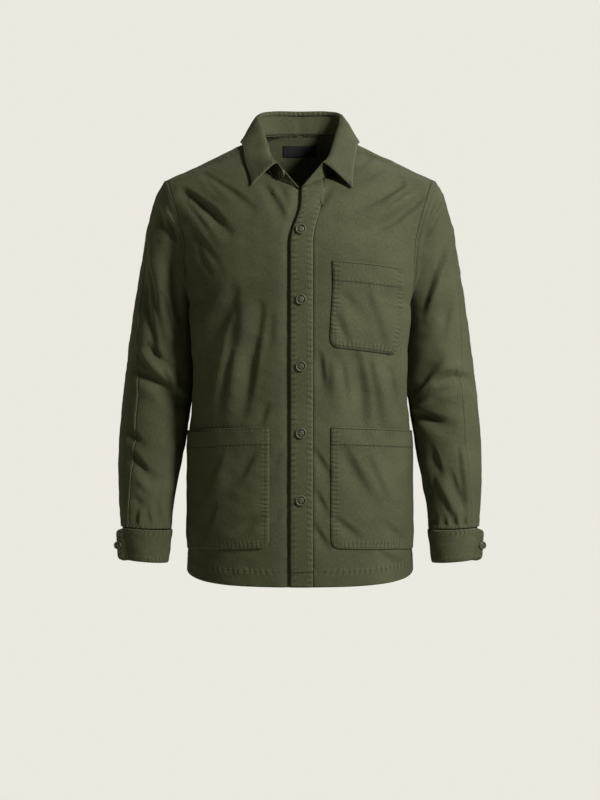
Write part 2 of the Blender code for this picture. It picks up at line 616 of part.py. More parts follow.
def cuff_grid():
    """Outer points and inward directions of the left cuff."""
    levels = np.array((0, 0.14, 0.5, 0.86, 1))
    top, bottom = np.array(CUFF, float)
    path = cuff_path()
    height = np.hypot(top[1] - bottom[1], top[0] - bottom[0])
    rows = []
    for level in levels:
        sizes = top + (bottom - top) * level
        turn = np.where(path[:, 0] > 180, path[:, 0] - 360, path[:, 0])
        line = ring_point(turn, np.broadcast_to(sizes, (len(path), 7)))
        corner = np.maximum(0, np.abs(level - 0.5) * height - height / 2 + CUFF_ROUND)
        recede = CUFF_ROUND - np.sqrt(np.maximum(0, CUFF_ROUND**2 - corner**2))
        tab_x, tab_depth = CUFF_TAB
        tab_end = np.array((tab_x - recede - 4 * level, sizes[4] - tab_depth * sizes[5], sizes[1] - 2))
        line += path[:, 1:2] * (tab_end - line)
        rows.append(line)
    outer = np.array(rows)
    along = np.gradient(outer, axis=1)
    along[:, 4] = outer[:, 5] - outer[:, 3]
    down = np.broadcast_to(outer[-1] - outer[0], outer.shape)
    inward = unit(np.cross(down, along))
    return outer + inward * path[:, 2][None, :, None], inward


def make_cuff(side, word, finish):
    outer, inward = cuff_grid()
    drop = np.array((0.05, 0, -1)) * SEAM
    mirror = (side, 1, 1)
    wall(f"cuff_{word}", (outer + drop) * mirror, inward * mirror, CUFF_THICK, finish)


def stand_faces(k, v, side):
    """Outer face of the collar stand: k counts the collar rows from the front, v is 0 at the neckline, 1 at the roll."""
    table = np.array(COLLAR, float)
    knots = np.arange(len(table))
    w = smooth(knots, table[:, 0], k)
    neck = torso(np.zeros_like(w), w, side)
    roll = smooth(knots, table[:, 1:4], k) * (side, 1, 1)
    lift = unit(roll - neck) * STAND_LIFT
    return neck + lift + (roll - neck - lift) * v[..., None]


def collar_inward(k, side):
    """Direction from the stand's outer face towards the neck."""
    step = 0.02
    half = np.full_like(k, 0.5)
    most = len(COLLAR) - 1
    high, low = np.clip(k + step, 0, most), np.clip(k - step, 0, most)
    along = stand_faces(high, half, side) - stand_faces(low, half, side)
    up = stand_faces(k, np.ones_like(k), side) - stand_faces(k, np.zeros_like(k), side)
    return unit(np.cross(along, up)) * -side


def leaf_faces(k, v, side):
    """Under face of the collar leaf, from the roll line to its free edge."""
    table = np.array(COLLAR, float)
    knots = np.arange(len(table))
    out = -collar_inward(k, side)
    roll = stand_faces(k, np.ones_like(k), side) + out * LEAF_GAP
    free = smooth(knots, table[:, 4:7], k) * (side, 1, 1)
    u, w = find_on_torso(free, side, smooth(knots, table[:, 0], k) + 0.3, (1, 1, 1))
    free = torso(u, w, side) + torso_normal(u, w, side) * smooth(knots, table[:, 7], k)[..., None]
    trail = free + (roll - free) * 0.35 + out * 3
    return bezier(v, roll, roll + out * 6 + np.array((0, 0, 4.0)), trail, free)


def collar_grid(faces, levels):
    """Points of a collar piece from the right front end round the back to the left."""
    k = np.linspace(0, len(COLLAR) - 1, 15)
    k_net, v_net = np.meshgrid(k, levels, indexing="ij")
    left, right = faces(k_net, v_net, 1), faces(k_net, v_net, -1)
    left[-1, :, 0] = right[-1, :, 0] = 0
    return np.concatenate([right, left[-2::-1]]), k_net


def make_collar(finish):
    outer, k_net = collar_grid(stand_faces, np.linspace(0, 1, 4))
    right, left = collar_inward(k_net, -1), collar_inward(k_net, 1)
    inward = np.concatenate([right, left[-2::-1]])
    middle = len(k_net) - 1
    inward[middle] = unit(inward[middle] * (0, 1, 1))
    wall("collar_stand", outer, inward, STAND_THICK, finish)
    under, _ = collar_grid(leaf_faces, np.linspace(0, 1, 7))
    along, down = np.gradient(under, axis=0), np.gradient(under, axis=1)
    out = unit(np.cross(along, down))
    wall("collar_leaf", under, out, LEAF_THICK, finish)


def make_label(finish):
    """The woven label, flat on the inside of the back below the neckline."""
    x, z = np.meshgrid(np.linspace(-1, 1, 7) * LABEL["width"] / 2, np.linspace(*LABEL["z"], 4))
    u, w = find_on_torso(np.stack([np.abs(x), np.zeros_like(x), z], axis=-1), 1, np.full_like(x, NECK_BACK + 0.3))
    sides = np.where(x < 0, -1.0, 1.0)[..., None] * (1, 0, 0) + (0, 1, 1)
    outer = torso(u, w, 1) * sides
    inward = -torso_normal(u, w, 1) * sides
    wall("neck_label", outer + inward * (CLOTH + ON_CLOTH), inward, LABEL["thick"], finish)


def make_button(name, centre, normal, radius, seat_gap, finish):
    """A button lying on the cloth at centre, with a raised rim."""
    bm = bmesh.new()
    thick = BUTTON_THICK * radius / BUTTON_RADIUS
    turned = Vector(normal).to_track_quat("Z", "Y").to_matrix().to_4x4()
    seat = Vector((centre + normal * (seat_gap + thick / 2)) * MM)
    bmesh.ops.create_cone(
        bm, cap_ends=True, segments=20, radius1=radius * MM, radius2=radius * MM, depth=thick * MM
    )
    top = [f for f in bm.faces if f.normal.z > 0.9]
    bmesh.ops.inset_region(bm, faces=top, thickness=radius * 0.26 * MM, depth=0)
    bmesh.ops.translate(bm, verts=top[0].verts[:], vec=(0, 0, -thick * 0.3 * MM))
    bmesh.ops.transform(bm, matrix=Matrix.Translation(seat) @ turned, verts=bm.verts[:])
    return add_object(name, bm, finish)


def make_buttons(finish):
    point, normal = placket_point(np.full(len(BUTTON_Z), BUTTON_X), np.array(BUTTON_Z, float))
    for number, (centre, out) in enumerate(zip(point + normal * PLACKET_RAISE, normal), 1):
        make_button(f"button_front_{number}", centre, out, BUTTON_RADIUS, BUTTON_SEAT, finish)
    k, v = np.array((0.42,)), np.array((0.46,))
    centre, out = stand_faces(k, v, -1)[0], -collar_inward(k, -1)[0]
    make_button("button_stand", centre, out, CUFF_BUTTON_RADIUS, STAND_BUTTON_SEAT, finish)
    outer, inward = cuff_grid()
    middle = len(outer) // 2
    centre, out = (outer[middle, 1] + outer[middle, 2]) / 2, -inward[middle, 1]
    for side, word in ((-1, "right"), (1, "left")):
        mirror = np.array((side, 1, 1))
        make_button(f"button_cuff_{word}", centre * mirror, out * mirror, CUFF_BUTTON_RADIUS, BUTTON_SEAT, finish)


def make_overshirt():
    for old in list(bpy.data.objects):
        bpy.data.objects.remove(old)
    root = bpy.data.objects.new("overshirt", None)
    bpy.context.scene.collection.objects.link(root)
    twill = material("olive_twill", OLIVE, 0.85)
    button = material("olive_button", BUTTON_OLIVE, 0.45)
    left = make_fronts(twill)
    make_placket(left, twill)
    make_back(twill)
    for side, word in ((-1, "right"), (1, "left")):
        make_sleeve(side, word, twill)
        make_cuff(side, word, twill)
    make_collar(twill)
    make_label(material("black_label", LABEL_BLACK, 0.6))
    make_buttons(button)


make_overshirt()
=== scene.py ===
from functools import partial

import bmesh
import bpy
import numpy as np
from mathutils import Matrix, Vector


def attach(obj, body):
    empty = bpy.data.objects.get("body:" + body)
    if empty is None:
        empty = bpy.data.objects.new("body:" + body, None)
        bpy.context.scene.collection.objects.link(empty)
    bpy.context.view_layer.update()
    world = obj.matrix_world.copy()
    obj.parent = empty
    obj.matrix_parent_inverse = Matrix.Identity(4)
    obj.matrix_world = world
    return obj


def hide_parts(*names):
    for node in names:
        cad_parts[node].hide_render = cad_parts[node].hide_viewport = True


# Olive twill overshirt, worn shape with nobody in it. Sizes in the tables are millimetres,
# x across (wearer's left is +), y out of the back, z up from between the shoulders.
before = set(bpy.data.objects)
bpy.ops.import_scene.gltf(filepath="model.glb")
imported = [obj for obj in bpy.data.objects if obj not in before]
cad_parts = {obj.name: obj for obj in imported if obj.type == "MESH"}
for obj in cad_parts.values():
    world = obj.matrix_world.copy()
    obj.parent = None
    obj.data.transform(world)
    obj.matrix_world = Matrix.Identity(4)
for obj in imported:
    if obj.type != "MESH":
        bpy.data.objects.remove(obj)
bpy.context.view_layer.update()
mm = 0.001
farAway = 60.0  # stands for no sewn line or worn edge nearby
print("frame loaded")

# curves and small helpers


def ease(low, high, at):
    t = np.clip((np.asarray(at, float) - low) / (high - low), 0, 1)
    return t * t * (3 - 2 * t)


def softCurve(knots, values, at, corners=()):
    # one value per knot, smooth between, sharp only at the corner knots
    knots, values = np.asarray(knots, float), np.asarray(values, float)
    at = np.clip(np.asarray(at, float), knots[0], knots[-1])
    low = np.clip(np.searchsorted(knots, at, side="right") - 1, 0, len(knots) - 2)
    across = (slice(None),) + (None,) * (values.ndim - 1)
    span = np.diff(knots)[across]
    slope = np.diff(values, axis=0) / span
    start, end = slope.copy(), slope.copy()
    for k in range(1, len(knots) - 1):
        if k not in corners:
            mean = (slope[k - 1] * span[k] + slope[k] * span[k - 1]) / (span[k - 1] + span[k])
            end[k - 1] = start[k] = mean
    t = (at - knots[low]) / np.diff(knots)[low]
    t = t.reshape(t.shape + (1,) * (values.ndim - 1))
    rise = (t**3 - 2 * t**2 + t) * start[low] + (t**3 - t**2) * end[low]
    return values[low] + (3 * t**2 - 2 * t**3) * (values[low + 1] - values[low]) + span[low] * rise


def unit(vectors):
    return vectors / np.maximum(np.linalg.norm(vectors, axis=-1, keepdims=True), 1e-9)


def bezier(t, first, lead, trail, last):
    t = t[..., None]
    return (1 - t) ** 3 * first + 3 * (1 - t) ** 2 * t * lead + 3 * (1 - t) * t**2 * trail + t**3 * last


def runLength(points, axis):
    # distance walked along the grid in one direction, in mm
    step = np.linalg.norm(np.diff(points, axis=axis), axis=-1)
    walked = np.cumsum(step, axis=axis)
    return np.concatenate([np.zeros_like(np.take(walked, [0], axis)), walked], axis=axis)


def fromEdges(grid):
    # distances from the first row, the last row, the first column and the last column, in mm
    down, across = runLength(grid, 0), runLength(grid, 1)
    return down, down[-1:] - down, across, across[:, -1:] - across


def puckers(run, along, apart, drift, slow, start=0):
    # small waves drawn in by the thread, not quite evenly spaced
    return np.sin(run * 2 * np.pi / apart + start + drift * np.sin(along / slow))


def bell(value, width):
    # 1 in the middle, fading out over the width
    return np.exp(-((value / width) ** 2))


def spread(stops, counts):
    # from stop to stop in even steps, with one count for each stretch
    runs = [np.linspace(low, high, n, endpoint=False) for low, high, n in zip(stops, stops[1:], counts)]
    return np.concatenate([*runs, [stops[-1]]])


creaseLook = {
    "deepen": 1.45, "faint": 0.2, "start": 0.12, "span": 0.8, "peak": 1.2, "narrow": 0.8, "opens": 0.45,
    "steep": 0.95, "leans": 0.4, "bankAway": 1.8, "bankWidth": 0.8, "bankHeight": 0.2,
}


def foldHeight(folds, x, z):
    # soft uneven creases: steep on the side away from the light, opening out towards their lower end
    look, total = creaseLook, np.zeros_like(x)
    for width, height, *line in folds:
        near, place, lean = np.full_like(x, 1e6), np.zeros_like(x), np.zeros_like(x)
        lengths = [np.hypot(x1 - x0, z1 - z0) for (x0, z0), (x1, z1) in zip(line, line[1:])]
        whole, done = sum(lengths), 0
        for length, (x0, z0), (x1, z1) in zip(lengths, line, line[1:]):
            runX, runZ = x1 - x0, z1 - z0
            t = np.clip(((x - x0) * runX + (z - z0) * runZ) / length**2, 0, 1)
            gap = np.hypot(x - x0 - t * runX, z - z0 - t * runZ)
            beside = (runX * (z - z0) - runZ * (x - x0)) / length * (1 if runZ < 0 else -1)
            closer = gap < near
            near = np.where(closer, gap, near)
            place = np.where(closer, (done + t * length) / whole, place)
            lean = np.where(closer, beside / (gap + 1), lean)
            done += length
        swell = np.sin(np.pi * (look["start"] + look["span"] * place)) ** look["peak"]
        strength = look["faint"] + (1 - look["faint"]) * swell
        wide = width * (look["narrow"] + look["opens"] * place)
        wide = wide * (look["steep"] + look["leans"] * lean * np.sign(height))
        bank = bell(near - look["bankAway"] * wide, look["bankWidth"] * wide)
        total += height * look["deepen"] * strength * (bell(near, wide) - look["bankHeight"] * bank)
    return total


def ripples(seed, x, z, waves, longest, shortest):
    # gentle uneven ground made of crossing waves
    turn = np.random.default_rng(seed)
    total = np.zeros_like(x)
    for _ in range(waves):
        angle, phase = turn.uniform(0, np.pi), turn.uniform(0, 2 * np.pi)
        size = turn.uniform(shortest, longest)
        total += np.sin((x * np.cos(angle) + z * np.sin(angle)) * 2 * np.pi / size + phase)
    return total / np.sqrt(waves)


# The body's form: rows run from the centre line or neckline out to the side seam or armhole.
# Columns: centre x, y, z; handle x, y, z; side seam z or turn round the armhole; handle x, y, z.
torsoForm = {
    "rows": (
        (0, -141, -741, 125, 0, 0, -716, 6, -80, -25),
        (0, -139, -600, 122, 0, 0, -600, 4, -79, 0),
        (0, -137, -437, 120, 0, 0, -437, 6, -79, 0),
        (0, -141, -352, 122, 0, 0, -352, 14, -81, 0),
        (0, -143, -285, 122, 0, 0, 180, 26, -78, 0),
        (0, -144, -262, 120, 0, 0, 158, 9, -52, 0),
        (0, -144, -230, 114, 0, 0, 130, 0, -38, 2),
        (0, -142, -185, 103, 0, -2, 105, -20, -37, 3),
        (0, -135, -140, 94, 0, -4, 82, -36, -33, 6),
        (0, -122, -92, 85, -3, -5, 62, -48, -26, 14),
        (40, -92, -72, 60, -8, -3, 44, -58, -18, 18),
        (64, -52, -36, 52, -6, -11, 27, -58, -8, 22),
        (73, -14, -6, 50, 0, -20, 11, -55, 0, 23),
        (75, 8, 8, 50, 2, -22, 0, -55, 0, 24),
        (66, 45, 18, 52, 8, -22, -25, -58, 8, 24),
        (36, 68, 23, 60, 14, -18, -45, -56, 20, 20),
        (0, 75, 24, 70, 0, 0, -62, -50, 32, 18),
        (0, 98, -50, 80, 0, 0, -80, -44, 44, 12),
        (0, 118, -130, 95, 0, 0, -98, -32, 50, 6),
        (0, 129, -205, 105, 0, 0, -125, -10, 48, 2),
        (0, 132, -250, 112, 0, 0, -152, 1, 50, 0),
        (0, 132, -285, 115, 0, 0, -180, 16, 62, 0),
        (0, 128, -352, 115, 0, 0, -352, 8, 67, 0),
        (0, 121, -437, 115, 0, 0, -437, 2, 66, 0),
        (0, 124, -600, 118, 0, 0, -600, 2, 68, 0),
        (0, 131, -741, 120, 0, 0, -716, 2, 73, -25),
    ),
    "armpitFront": 4, "neckFront": 9, "shoulder": 12, "neckBack": 16, "armpitBack": 21, "hemBack": 25,
    # z, x before the arm presses it in, y
    "sideSeam": ((-716, 190.5, 4), (-600, 189, 5), (-437, 190, 6), (-352, 191.5, 6), (-285, 184.8, 5)),
    "press": {"depth": 26.0, "x": (90, 150), "y": 14.0, "yWidth": 48.0, "z": -362.0, "zWidth": 85.0},
    "holeTop": (230.0, 0.0, -66.0), "holeLow": (175.0, 5.0, -285.0), "holeFront": 76.0, "holeBack": 70.0,
    "frontIn": 7.0, "frontLowOut": 9.0, "backLowOut": 4.0,
    "halfSeam": 0.15,
}
rowTable = np.array(torsoForm["rows"], float)
rowKnots = np.arange(len(rowTable))
neckFront, shoulder, neckBack = torsoForm["neckFront"], torsoForm["shoulder"], torsoForm["neckBack"]
armpitFront, armpitBack, hemBack = torsoForm["armpitFront"], torsoForm["armpitBack"], torsoForm["hemBack"]
holeTop, holeLow = np.array(torsoForm["holeTop"]), np.array(torsoForm["holeLow"])
halfSeam = torsoForm["halfSeam"]  # pieces that are sewn together stop this far short of the seam


def armhole(turn):
    # 0 at the shoulder, 180 at the armpit, positive over the front
    turn = np.asarray(turn, float)
    angle = np.radians(turn)
    point = (holeTop + holeLow) / 2 + np.cos(angle)[..., None] * (holeTop - holeLow) / 2
    front = turn > 0
    reach = np.where(front, torsoForm["holeFront"], torsoForm["holeBack"])
    point[..., 1] -= np.sign(turn) * reach * np.abs(np.sin(angle)) ** 0.92
    low = np.maximum(0, -np.sin(2 * np.abs(angle)))
    notch = torsoForm["frontLowOut"] * low - torsoForm["frontIn"] * np.sin(angle) ** 2
    point[..., 0] += np.where(front, notch, torsoForm["backLowOut"] * low)
    return point


def armholeOutward():
    across = holeTop - holeLow
    return unit(np.array((across[2], 0, -across[0])))


def armPress(point):
    press = torsoForm["press"]
    y, z = bell(point[..., 1] - press["y"], press["yWidth"]), bell(point[..., 2] - press["z"], press["zWidth"])
    return press["depth"] * y * z * ease(*press["x"], point[..., 0])


def torsoEdge(w):
    below = w < armpitFront
    frontZ = softCurve(rowKnots[: armpitFront + 1], np.append(rowTable[:armpitFront, 6], holeLow[2]), w)
    backZ = softCurve(rowKnots[armpitBack:], np.append(holeLow[2], rowTable[armpitBack + 1 :, 6]), w)
    turn = softCurve(rowKnots[armpitFront : armpitBack + 1], rowTable[armpitFront : armpitBack + 1, 6], w)
    z = np.where(below, frontZ, backZ)
    seam = np.array(torsoForm["sideSeam"], float)
    seam[-1, 1] = holeLow[0] + armPress(holeLow)
    side = np.concatenate([softCurve(seam[:, 0], seam[:, 1:], z), z[..., None]], axis=-1)
    hole = armhole(turn)
    hole[..., 0] += armPress(hole)
    onSide = below | (w > armpitBack)
    return np.where(onSide[..., None], side, hole), turn, onSide


def plainTorso(u, w):
    centre = softCurve(rowKnots, rowTable[:, :3], w, (neckFront, neckBack))
    lead = centre + softCurve(rowKnots, rowTable[:, 3:6], w)
    edge, _, _ = torsoEdge(w)
    trail = edge + softCurve(rowKnots, rowTable[:, 7:10], w)
    point = bezier(u, centre, lead, trail, edge)
    point[..., 0] -= armPress(point)
    return point


def signedTorso(u, w):
    # past the centre line the form is mirrored
    place = plainTorso(np.abs(u), w)
    place[..., 0] *= np.where(u < 0, -1, 1)
    return place


def slopes(u, w):
    step = 1e-3
    low = np.where((u >= 0) & (u < step), u, u - step)
    alongU = (signedTorso(u + step, w) - signedTorso(low, w)) / (u + step - low)[..., None]
    wLow, wHigh = np.clip(w - 10 * step, 0, hemBack), np.clip(w + 10 * step, 0, hemBack)
    return alongU, (signedTorso(u, wHigh) - signedTorso(u, wLow)) / (wHigh - wLow)[..., None]


# Creases of the two fronts and the back: half-width, height, then x and z along each.
bodyFolds = {
    "front": [
        (11, -6.0, (-190, -92), (-148, -128), (-122, -160)),
        (9, 2.4, (-182, -108), (-150, -146), (-134, -172)),
        (8, -2.6, (-158, -60), (-110, -97), (-78, -125)),
        (7, 1.4, (-150, -72), (-112, -110)),
        (11, -2.4, (-172, -165), (-150, -196), (-133, -222)),
        (8, 2.0, (-160, -190), (-138, -228)),
        (8, -3.0, (-56, -87), (-40, -112), (-27, -140)),
        (6, -2.2, (-36, -74), (-22, -112)),
        (6, 1.4, (-46, -84), (-32, -116)),
        (13, -3.6, (-106, -262), (-112, -286), (-128, -312), (-148, -352), (-162, -404)),
        (13, 2.6, (-90, -280), (-96, -340)),
        (11, -3.8, (-62, -288), (-70, -336), (-82, -400), (-96, -462)),
        (7, -2.8, (-52, -448), (-66, -474)),
        (12, 4.0, (-105, -362), (-118, -465)),
        (8, 2.8, (-122, -336), (-146, -464)),
        (8, -2.4, (-134, -352), (-156, -440)),
        (7, -1.8, (-44, -300), (-50, -352)),
        (8, -3.8, (50, -91), (29, -125)),
        (10, -5.2, (168, -80), (130, -106), (92, -124)),
        (10, -5.2, (202, -104), (160, -138), (113, -165)),
        (8, 3.2, (185, -94), (146, -124), (103, -145)),
        (6, -1.8, (120, -30), (98, -48)),
        (7, -1.6, (140, -52), (106, -72)),
        (8, -3.4, (33, -365), (38, -424)),
        (14, -5.6, (93, -372), (104, -429), (102, -484)),
        (12, 4.8, (122, -378), (144, -478)),
        (8, -3.0, (150, -390), (164, -460)),
        (9, 2.8, (53, -382), (57, -432)),
        (8, -2.6, (70, -382), (76, -440)),
        (7, -2.6, (25, -521), (46, -558)),
        (7, -2.6, (28, -590), (43, -622)),
        (7, -2.6, (24, -642), (46, -680)),
        (8, -2.2, (134, -690), (160, -706)),
        (7, -1.8, (-30, -520), (-46, -550)),
        (7, -1.8, (-28, -610), (-46, -640)),
        (9, -3.0, (70, -264), (88, -284), (108, -310)),
        (6, -3.0, (62, -304), (78, -344)),
        (10, 3.2, (115, -260), (148, -348)),
        (12, -4.4, (72, -520), (102, -579), (118, -602)),
        (8, -3.2, (59, -630), (96, -663)),
        (9, 2.4, (118, -530), (150, -600)),
        (8, -2.2, (140, -640), (166, -668)),
        (9, -2.6, (-72, -520), (-104, -572)),
        (9, 2.2, (-120, -528), (-146, -592)),
        (8, -2.4, (-60, -628), (-100, -652)),
        (9, -2.2, (-140, -612), (-160, -662)),
    ],
    "back": [
        (15, -4.5, (-178, -144), (-120, -192), (-56, -224)),
        (11, 2.2, (-160, -176), (-110, -216)),
        (14, -4.5, (180, -132), (128, -184), (60, -212)),
        (11, 2.2, (164, -164), (112, -206)),
        (13, -5.5, (-94, -292), (-118, -380), (-102, -456)),
        (13, -5.5, (102, -304), (122, -392), (98, -468)),
        (12, 4.0, (-58, -322), (-72, -436)),
        (12, 4.0, (72, -334), (64, -446)),
        (11, -4.0, (-18, -352), (-34, -476)),
        (11, -3.6, (28, -372), (46, -506)),
        (12, -3.6, (-124, -514), (-94, -626)),
        (12, -3.6, (120, -524), (94, -646)),
        (9, -2.4, (-150, -330), (-164, -420)),
        (9, -2.4, (152, -338), (162, -430)),
        (9, -2.4, (-62, -20), (-84, -52), (-106, -76)),
        (9, -2.4, (66, -22), (88, -56), (108, -78)),
        (10, -2.2, (-30, -560), (-10, -640)),
        (10, 2.0, (36, -560), (20, -650)),
    ],
}


reliefCut = {
    # each ground: height, seed, shift of its far side, number of waves, longest and shortest wave
    "grounds": ((0.55, 3, 900, 7, 120, 60), (0.28, 5, 500, 9, 46, 22)), "behind": 2.0, "neckRows": (0.8, 1.6),
    "edge": 0.1, "neckEdge": 0.22, "placket": (8, 30), "placketTop": (-120, -100),
}


def unevenness(grounds, x, z, far):
    return sum(height * ripples(seed, x + shift * far, z, *waves) for height, seed, shift, *waves in grounds)


def bodyRelief(u, w, x, z):
    # height of creases and unevenness, fading to nothing at sewn edges and under the placket
    cut, away = reliefCut, np.abs(u)
    behind = ease(shoulder, shoulder + cut["behind"], w)
    above, below = cut["neckRows"]
    nearNeck = ease(neckFront - above, neckFront, w) * ease(-neckBack - below, -neckBack, -w)
    edgeFade = ease(0, cut["edge"], 1 - away) * (1 - nearNeck * (1 - ease(0, cut["neckEdge"], away)))
    middle = 1 - (1 - ease(*cut["placket"], np.abs(x))) * ease(*cut["placketTop"], -z) * (1 - behind)
    height = (1 - behind) * foldHeight(bodyFolds["front"], x, z) + behind * foldHeight(bodyFolds["back"], x, z)
    return (height + unevenness(cut["grounds"], x, z, behind)) * edgeFade * middle


def torso(u, w, side):
    u, w = np.broadcast_arrays(np.asarray(u, float), np.asarray(w, float))
    alongU, alongW = slopes(np.abs(u), w)
    point, normal = plainTorso(np.abs(u), w), unit(np.cross(alongU, alongW))
    flip = np.where(u < 0, -side, side)
    point[..., 0] *= flip
    normal[..., 0] *= flip
    height = bodyRelief(u, w, point[..., 0], point[..., 2])
    return point + normal * height[..., None], normal


def findOnTorso(target, startW, weights=(1, 0, 1)):
    # u and w of a point on the wearer's left half, seen along the axis of weight 0
    u = np.clip(target[..., 0] / 200, -0.2, 0.98)
    w = np.broadcast_to(np.asarray(startW, float), u.shape).copy()
    for _ in range(12):
        alongU, alongW = (slope * weights for slope in slopes(u, w))
        miss = (target - signedTorso(u, w)) * weights
        uu, uw, ww = (alongU**2).sum(-1), (alongU * alongW).sum(-1), (alongW**2).sum(-1)
        mu, mw = (alongU * miss).sum(-1), (alongW * miss).sum(-1)
        scale = uu * ww - uw**2 + 1e-9
        u = u + np.clip((mu * ww - mw * uw) / scale, -0.15, 0.15)
        w = np.clip(w + np.clip((mw * uu - mu * uw) / scale, -1, 1), 0, hemBack)
        u = np.where((w > neckFront) & (w < neckBack), np.maximum(u, 0), u)
    return u, w


def onFront(x, z):
    # u and w on a front; x runs towards the side of the front that is asked about
    x, z = np.broadcast_arrays(np.asarray(x, float), np.asarray(z, float))
    front = rowTable[: shoulder + 1]
    start = np.interp(z, front[:, 2], np.arange(len(front)))
    return findOnTorso(np.stack([x, np.zeros_like(x), z], axis=-1), start)


print("body form ready")

# cloth pieces
puckerPitch = 7.8


def meshFrom(bm, name):
    mesh = bpy.data.meshes.new(name)
    bm.to_mesh(mesh)
    bm.free()
    return mesh


def clothPiece(name, outer, wall, finish, lines, weave, flip=False, cross=(), edge=farAway, pace=puckerPitch):
    # A grid pulled into shape, with the weave's own map and the way to its nearest sewn line.
    # Each of lines is a pair: distance from the stitching (above zero on its edge side) and the way along it.
    # Lines that run into others go in cross, pace is how far apart the puckers lie, edge the way to a worn edge.
    rows, columns = outer.shape[:2]
    bm = bmesh.new()
    bmesh.ops.create_grid(bm, x_segments=columns - 1, y_segments=rows - 1, size=1)
    mesh = meshFrom(bm, name)
    flat = np.empty(len(mesh.vertices) * 3)
    mesh.vertices.foreach_get("co", flat)
    flat = flat.reshape(-1, 3)
    column, row = (np.rint((flat[:, k] + 1) / 2 * (n - 1)).astype(int) for k, n in ((0, columns), (1, rows)))
    mesh.vertices.foreach_set("co", (outer[row, column] * mm).ravel())
    across = runLength(outer, 1) * (-1 if flip else 1) + weave[0]
    along = runLength(outer, 0) + weave[1]
    corner = np.empty(len(mesh.loops), int)
    mesh.loops.foreach_get("vertex_index", corner)
    pair = np.stack([across[row, column][corner], along[row, column][corner]], axis=-1) * mm
    mesh.uv_layers.new(name="cloth").data.foreach_set("uv", pair.ravel())
    values = {"edge": np.broadcast_to(edge, outer.shape[:2])}
    for labels, sewn in ((("seam", "run"), lines), (("crossSeam", "crossRun"), cross)):
        seam, run = np.full(outer.shape[:2], -farAway), np.zeros(outer.shape[:2])
        for distance, way in sewn:
            distance, way = np.broadcast_to(distance, seam.shape), np.broadcast_to(way, seam.shape)
            closer = np.abs(distance) < np.abs(seam)
            seam, run = np.where(closer, distance, seam), np.where(closer, way, run)
        values.update(zip(labels, (seam, run * puckerPitch / pace)))
    for label, value in values.items():
        value = (value[row, column] * mm).astype(np.float32)
        mesh.attributes.new(label, "FLOAT", "POINT").data.foreach_set("value", value)
    if flip:
        mesh.flip_normals()
    return finishPiece(name, mesh, finish, wall)


def finishPiece(name, mesh, finish, wall=0):
    mesh.materials.append(finish)
    mesh.shade_smooth()
    piece = bpy.data.objects.new(name, mesh)
    bpy.context.scene.collection.objects.link(piece)
    if wall:
        shell = piece.modifiers.new("wall", "SOLIDIFY")
        shell.thickness, shell.offset = wall * mm, -1
        shell.use_even_offset = False
    return piece


def dress(piece, node=None):
    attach(piece, "root")
    if node:
        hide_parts(node)


def gridArea(points):
    a, b = points[1:, 1:] - points[:-1, :-1], points[1:, :-1] - points[:-1, 1:]
    return float(np.linalg.norm(np.cross(a, b), axis=-1).sum() / 2) * 1e-6


def layCloth(piece, node, across, down, held, area):
    # the flat size is measured along the cloth, and only hung cloth may hold more than its flat
    dress(piece, node)
    wide, tall = float(across.max() * mm), float(down.max() * mm)
    area = area if held == "hung" else min(area, wide * tall)


# stitches
stitchCut = {
    "length": 2.6, "pitch": 3.4, "width": 0.5, "height": 0.42, "sunk": 0.05, "uneven": 0.12, "lineBreak": 14.0,
    "seed": 11,
}
chance = np.random.default_rng(stitchCut["seed"])
sewnLines = []  # each a run of places and outward normals, in mm


def sewLine(outer, normal, field, offset, axis, keep=None):
    # follows the line where the distance from an edge passes the offset; axis 0 runs across the columns
    if axis:
        outer, normal, field = outer.transpose(1, 0, 2), normal.transpose(1, 0, 2), field.T
        keep = None if keep is None else keep.T
    over = field - offset
    passes = over[:-1] * over[1:] <= 0
    if keep is not None:
        passes &= keep[:-1]
    found = np.nonzero(passes.any(axis=0))[0]
    row = passes.argmax(axis=0)[found]
    t = (over[row, found] / (over[row, found] - over[row + 1, found] + 1e-9))[:, None]
    place = outer[row, found] * (1 - t) + outer[row + 1, found] * t
    out = unit(normal[row, found] * (1 - t) + normal[row + 1, found] * t)
    gaps = np.nonzero(np.linalg.norm(np.diff(place, axis=0), axis=1) > stitchCut["lineBreak"])[0] + 1
    for line, facing in zip(np.split(place, gaps), np.split(out, gaps)):
        if len(line) > 2:
            sewnLines.append((line, facing))


def onLine(values, walked, at):
    return np.stack([np.interp(at, walked, values[:, k]) for k in range(3)], axis=-1)


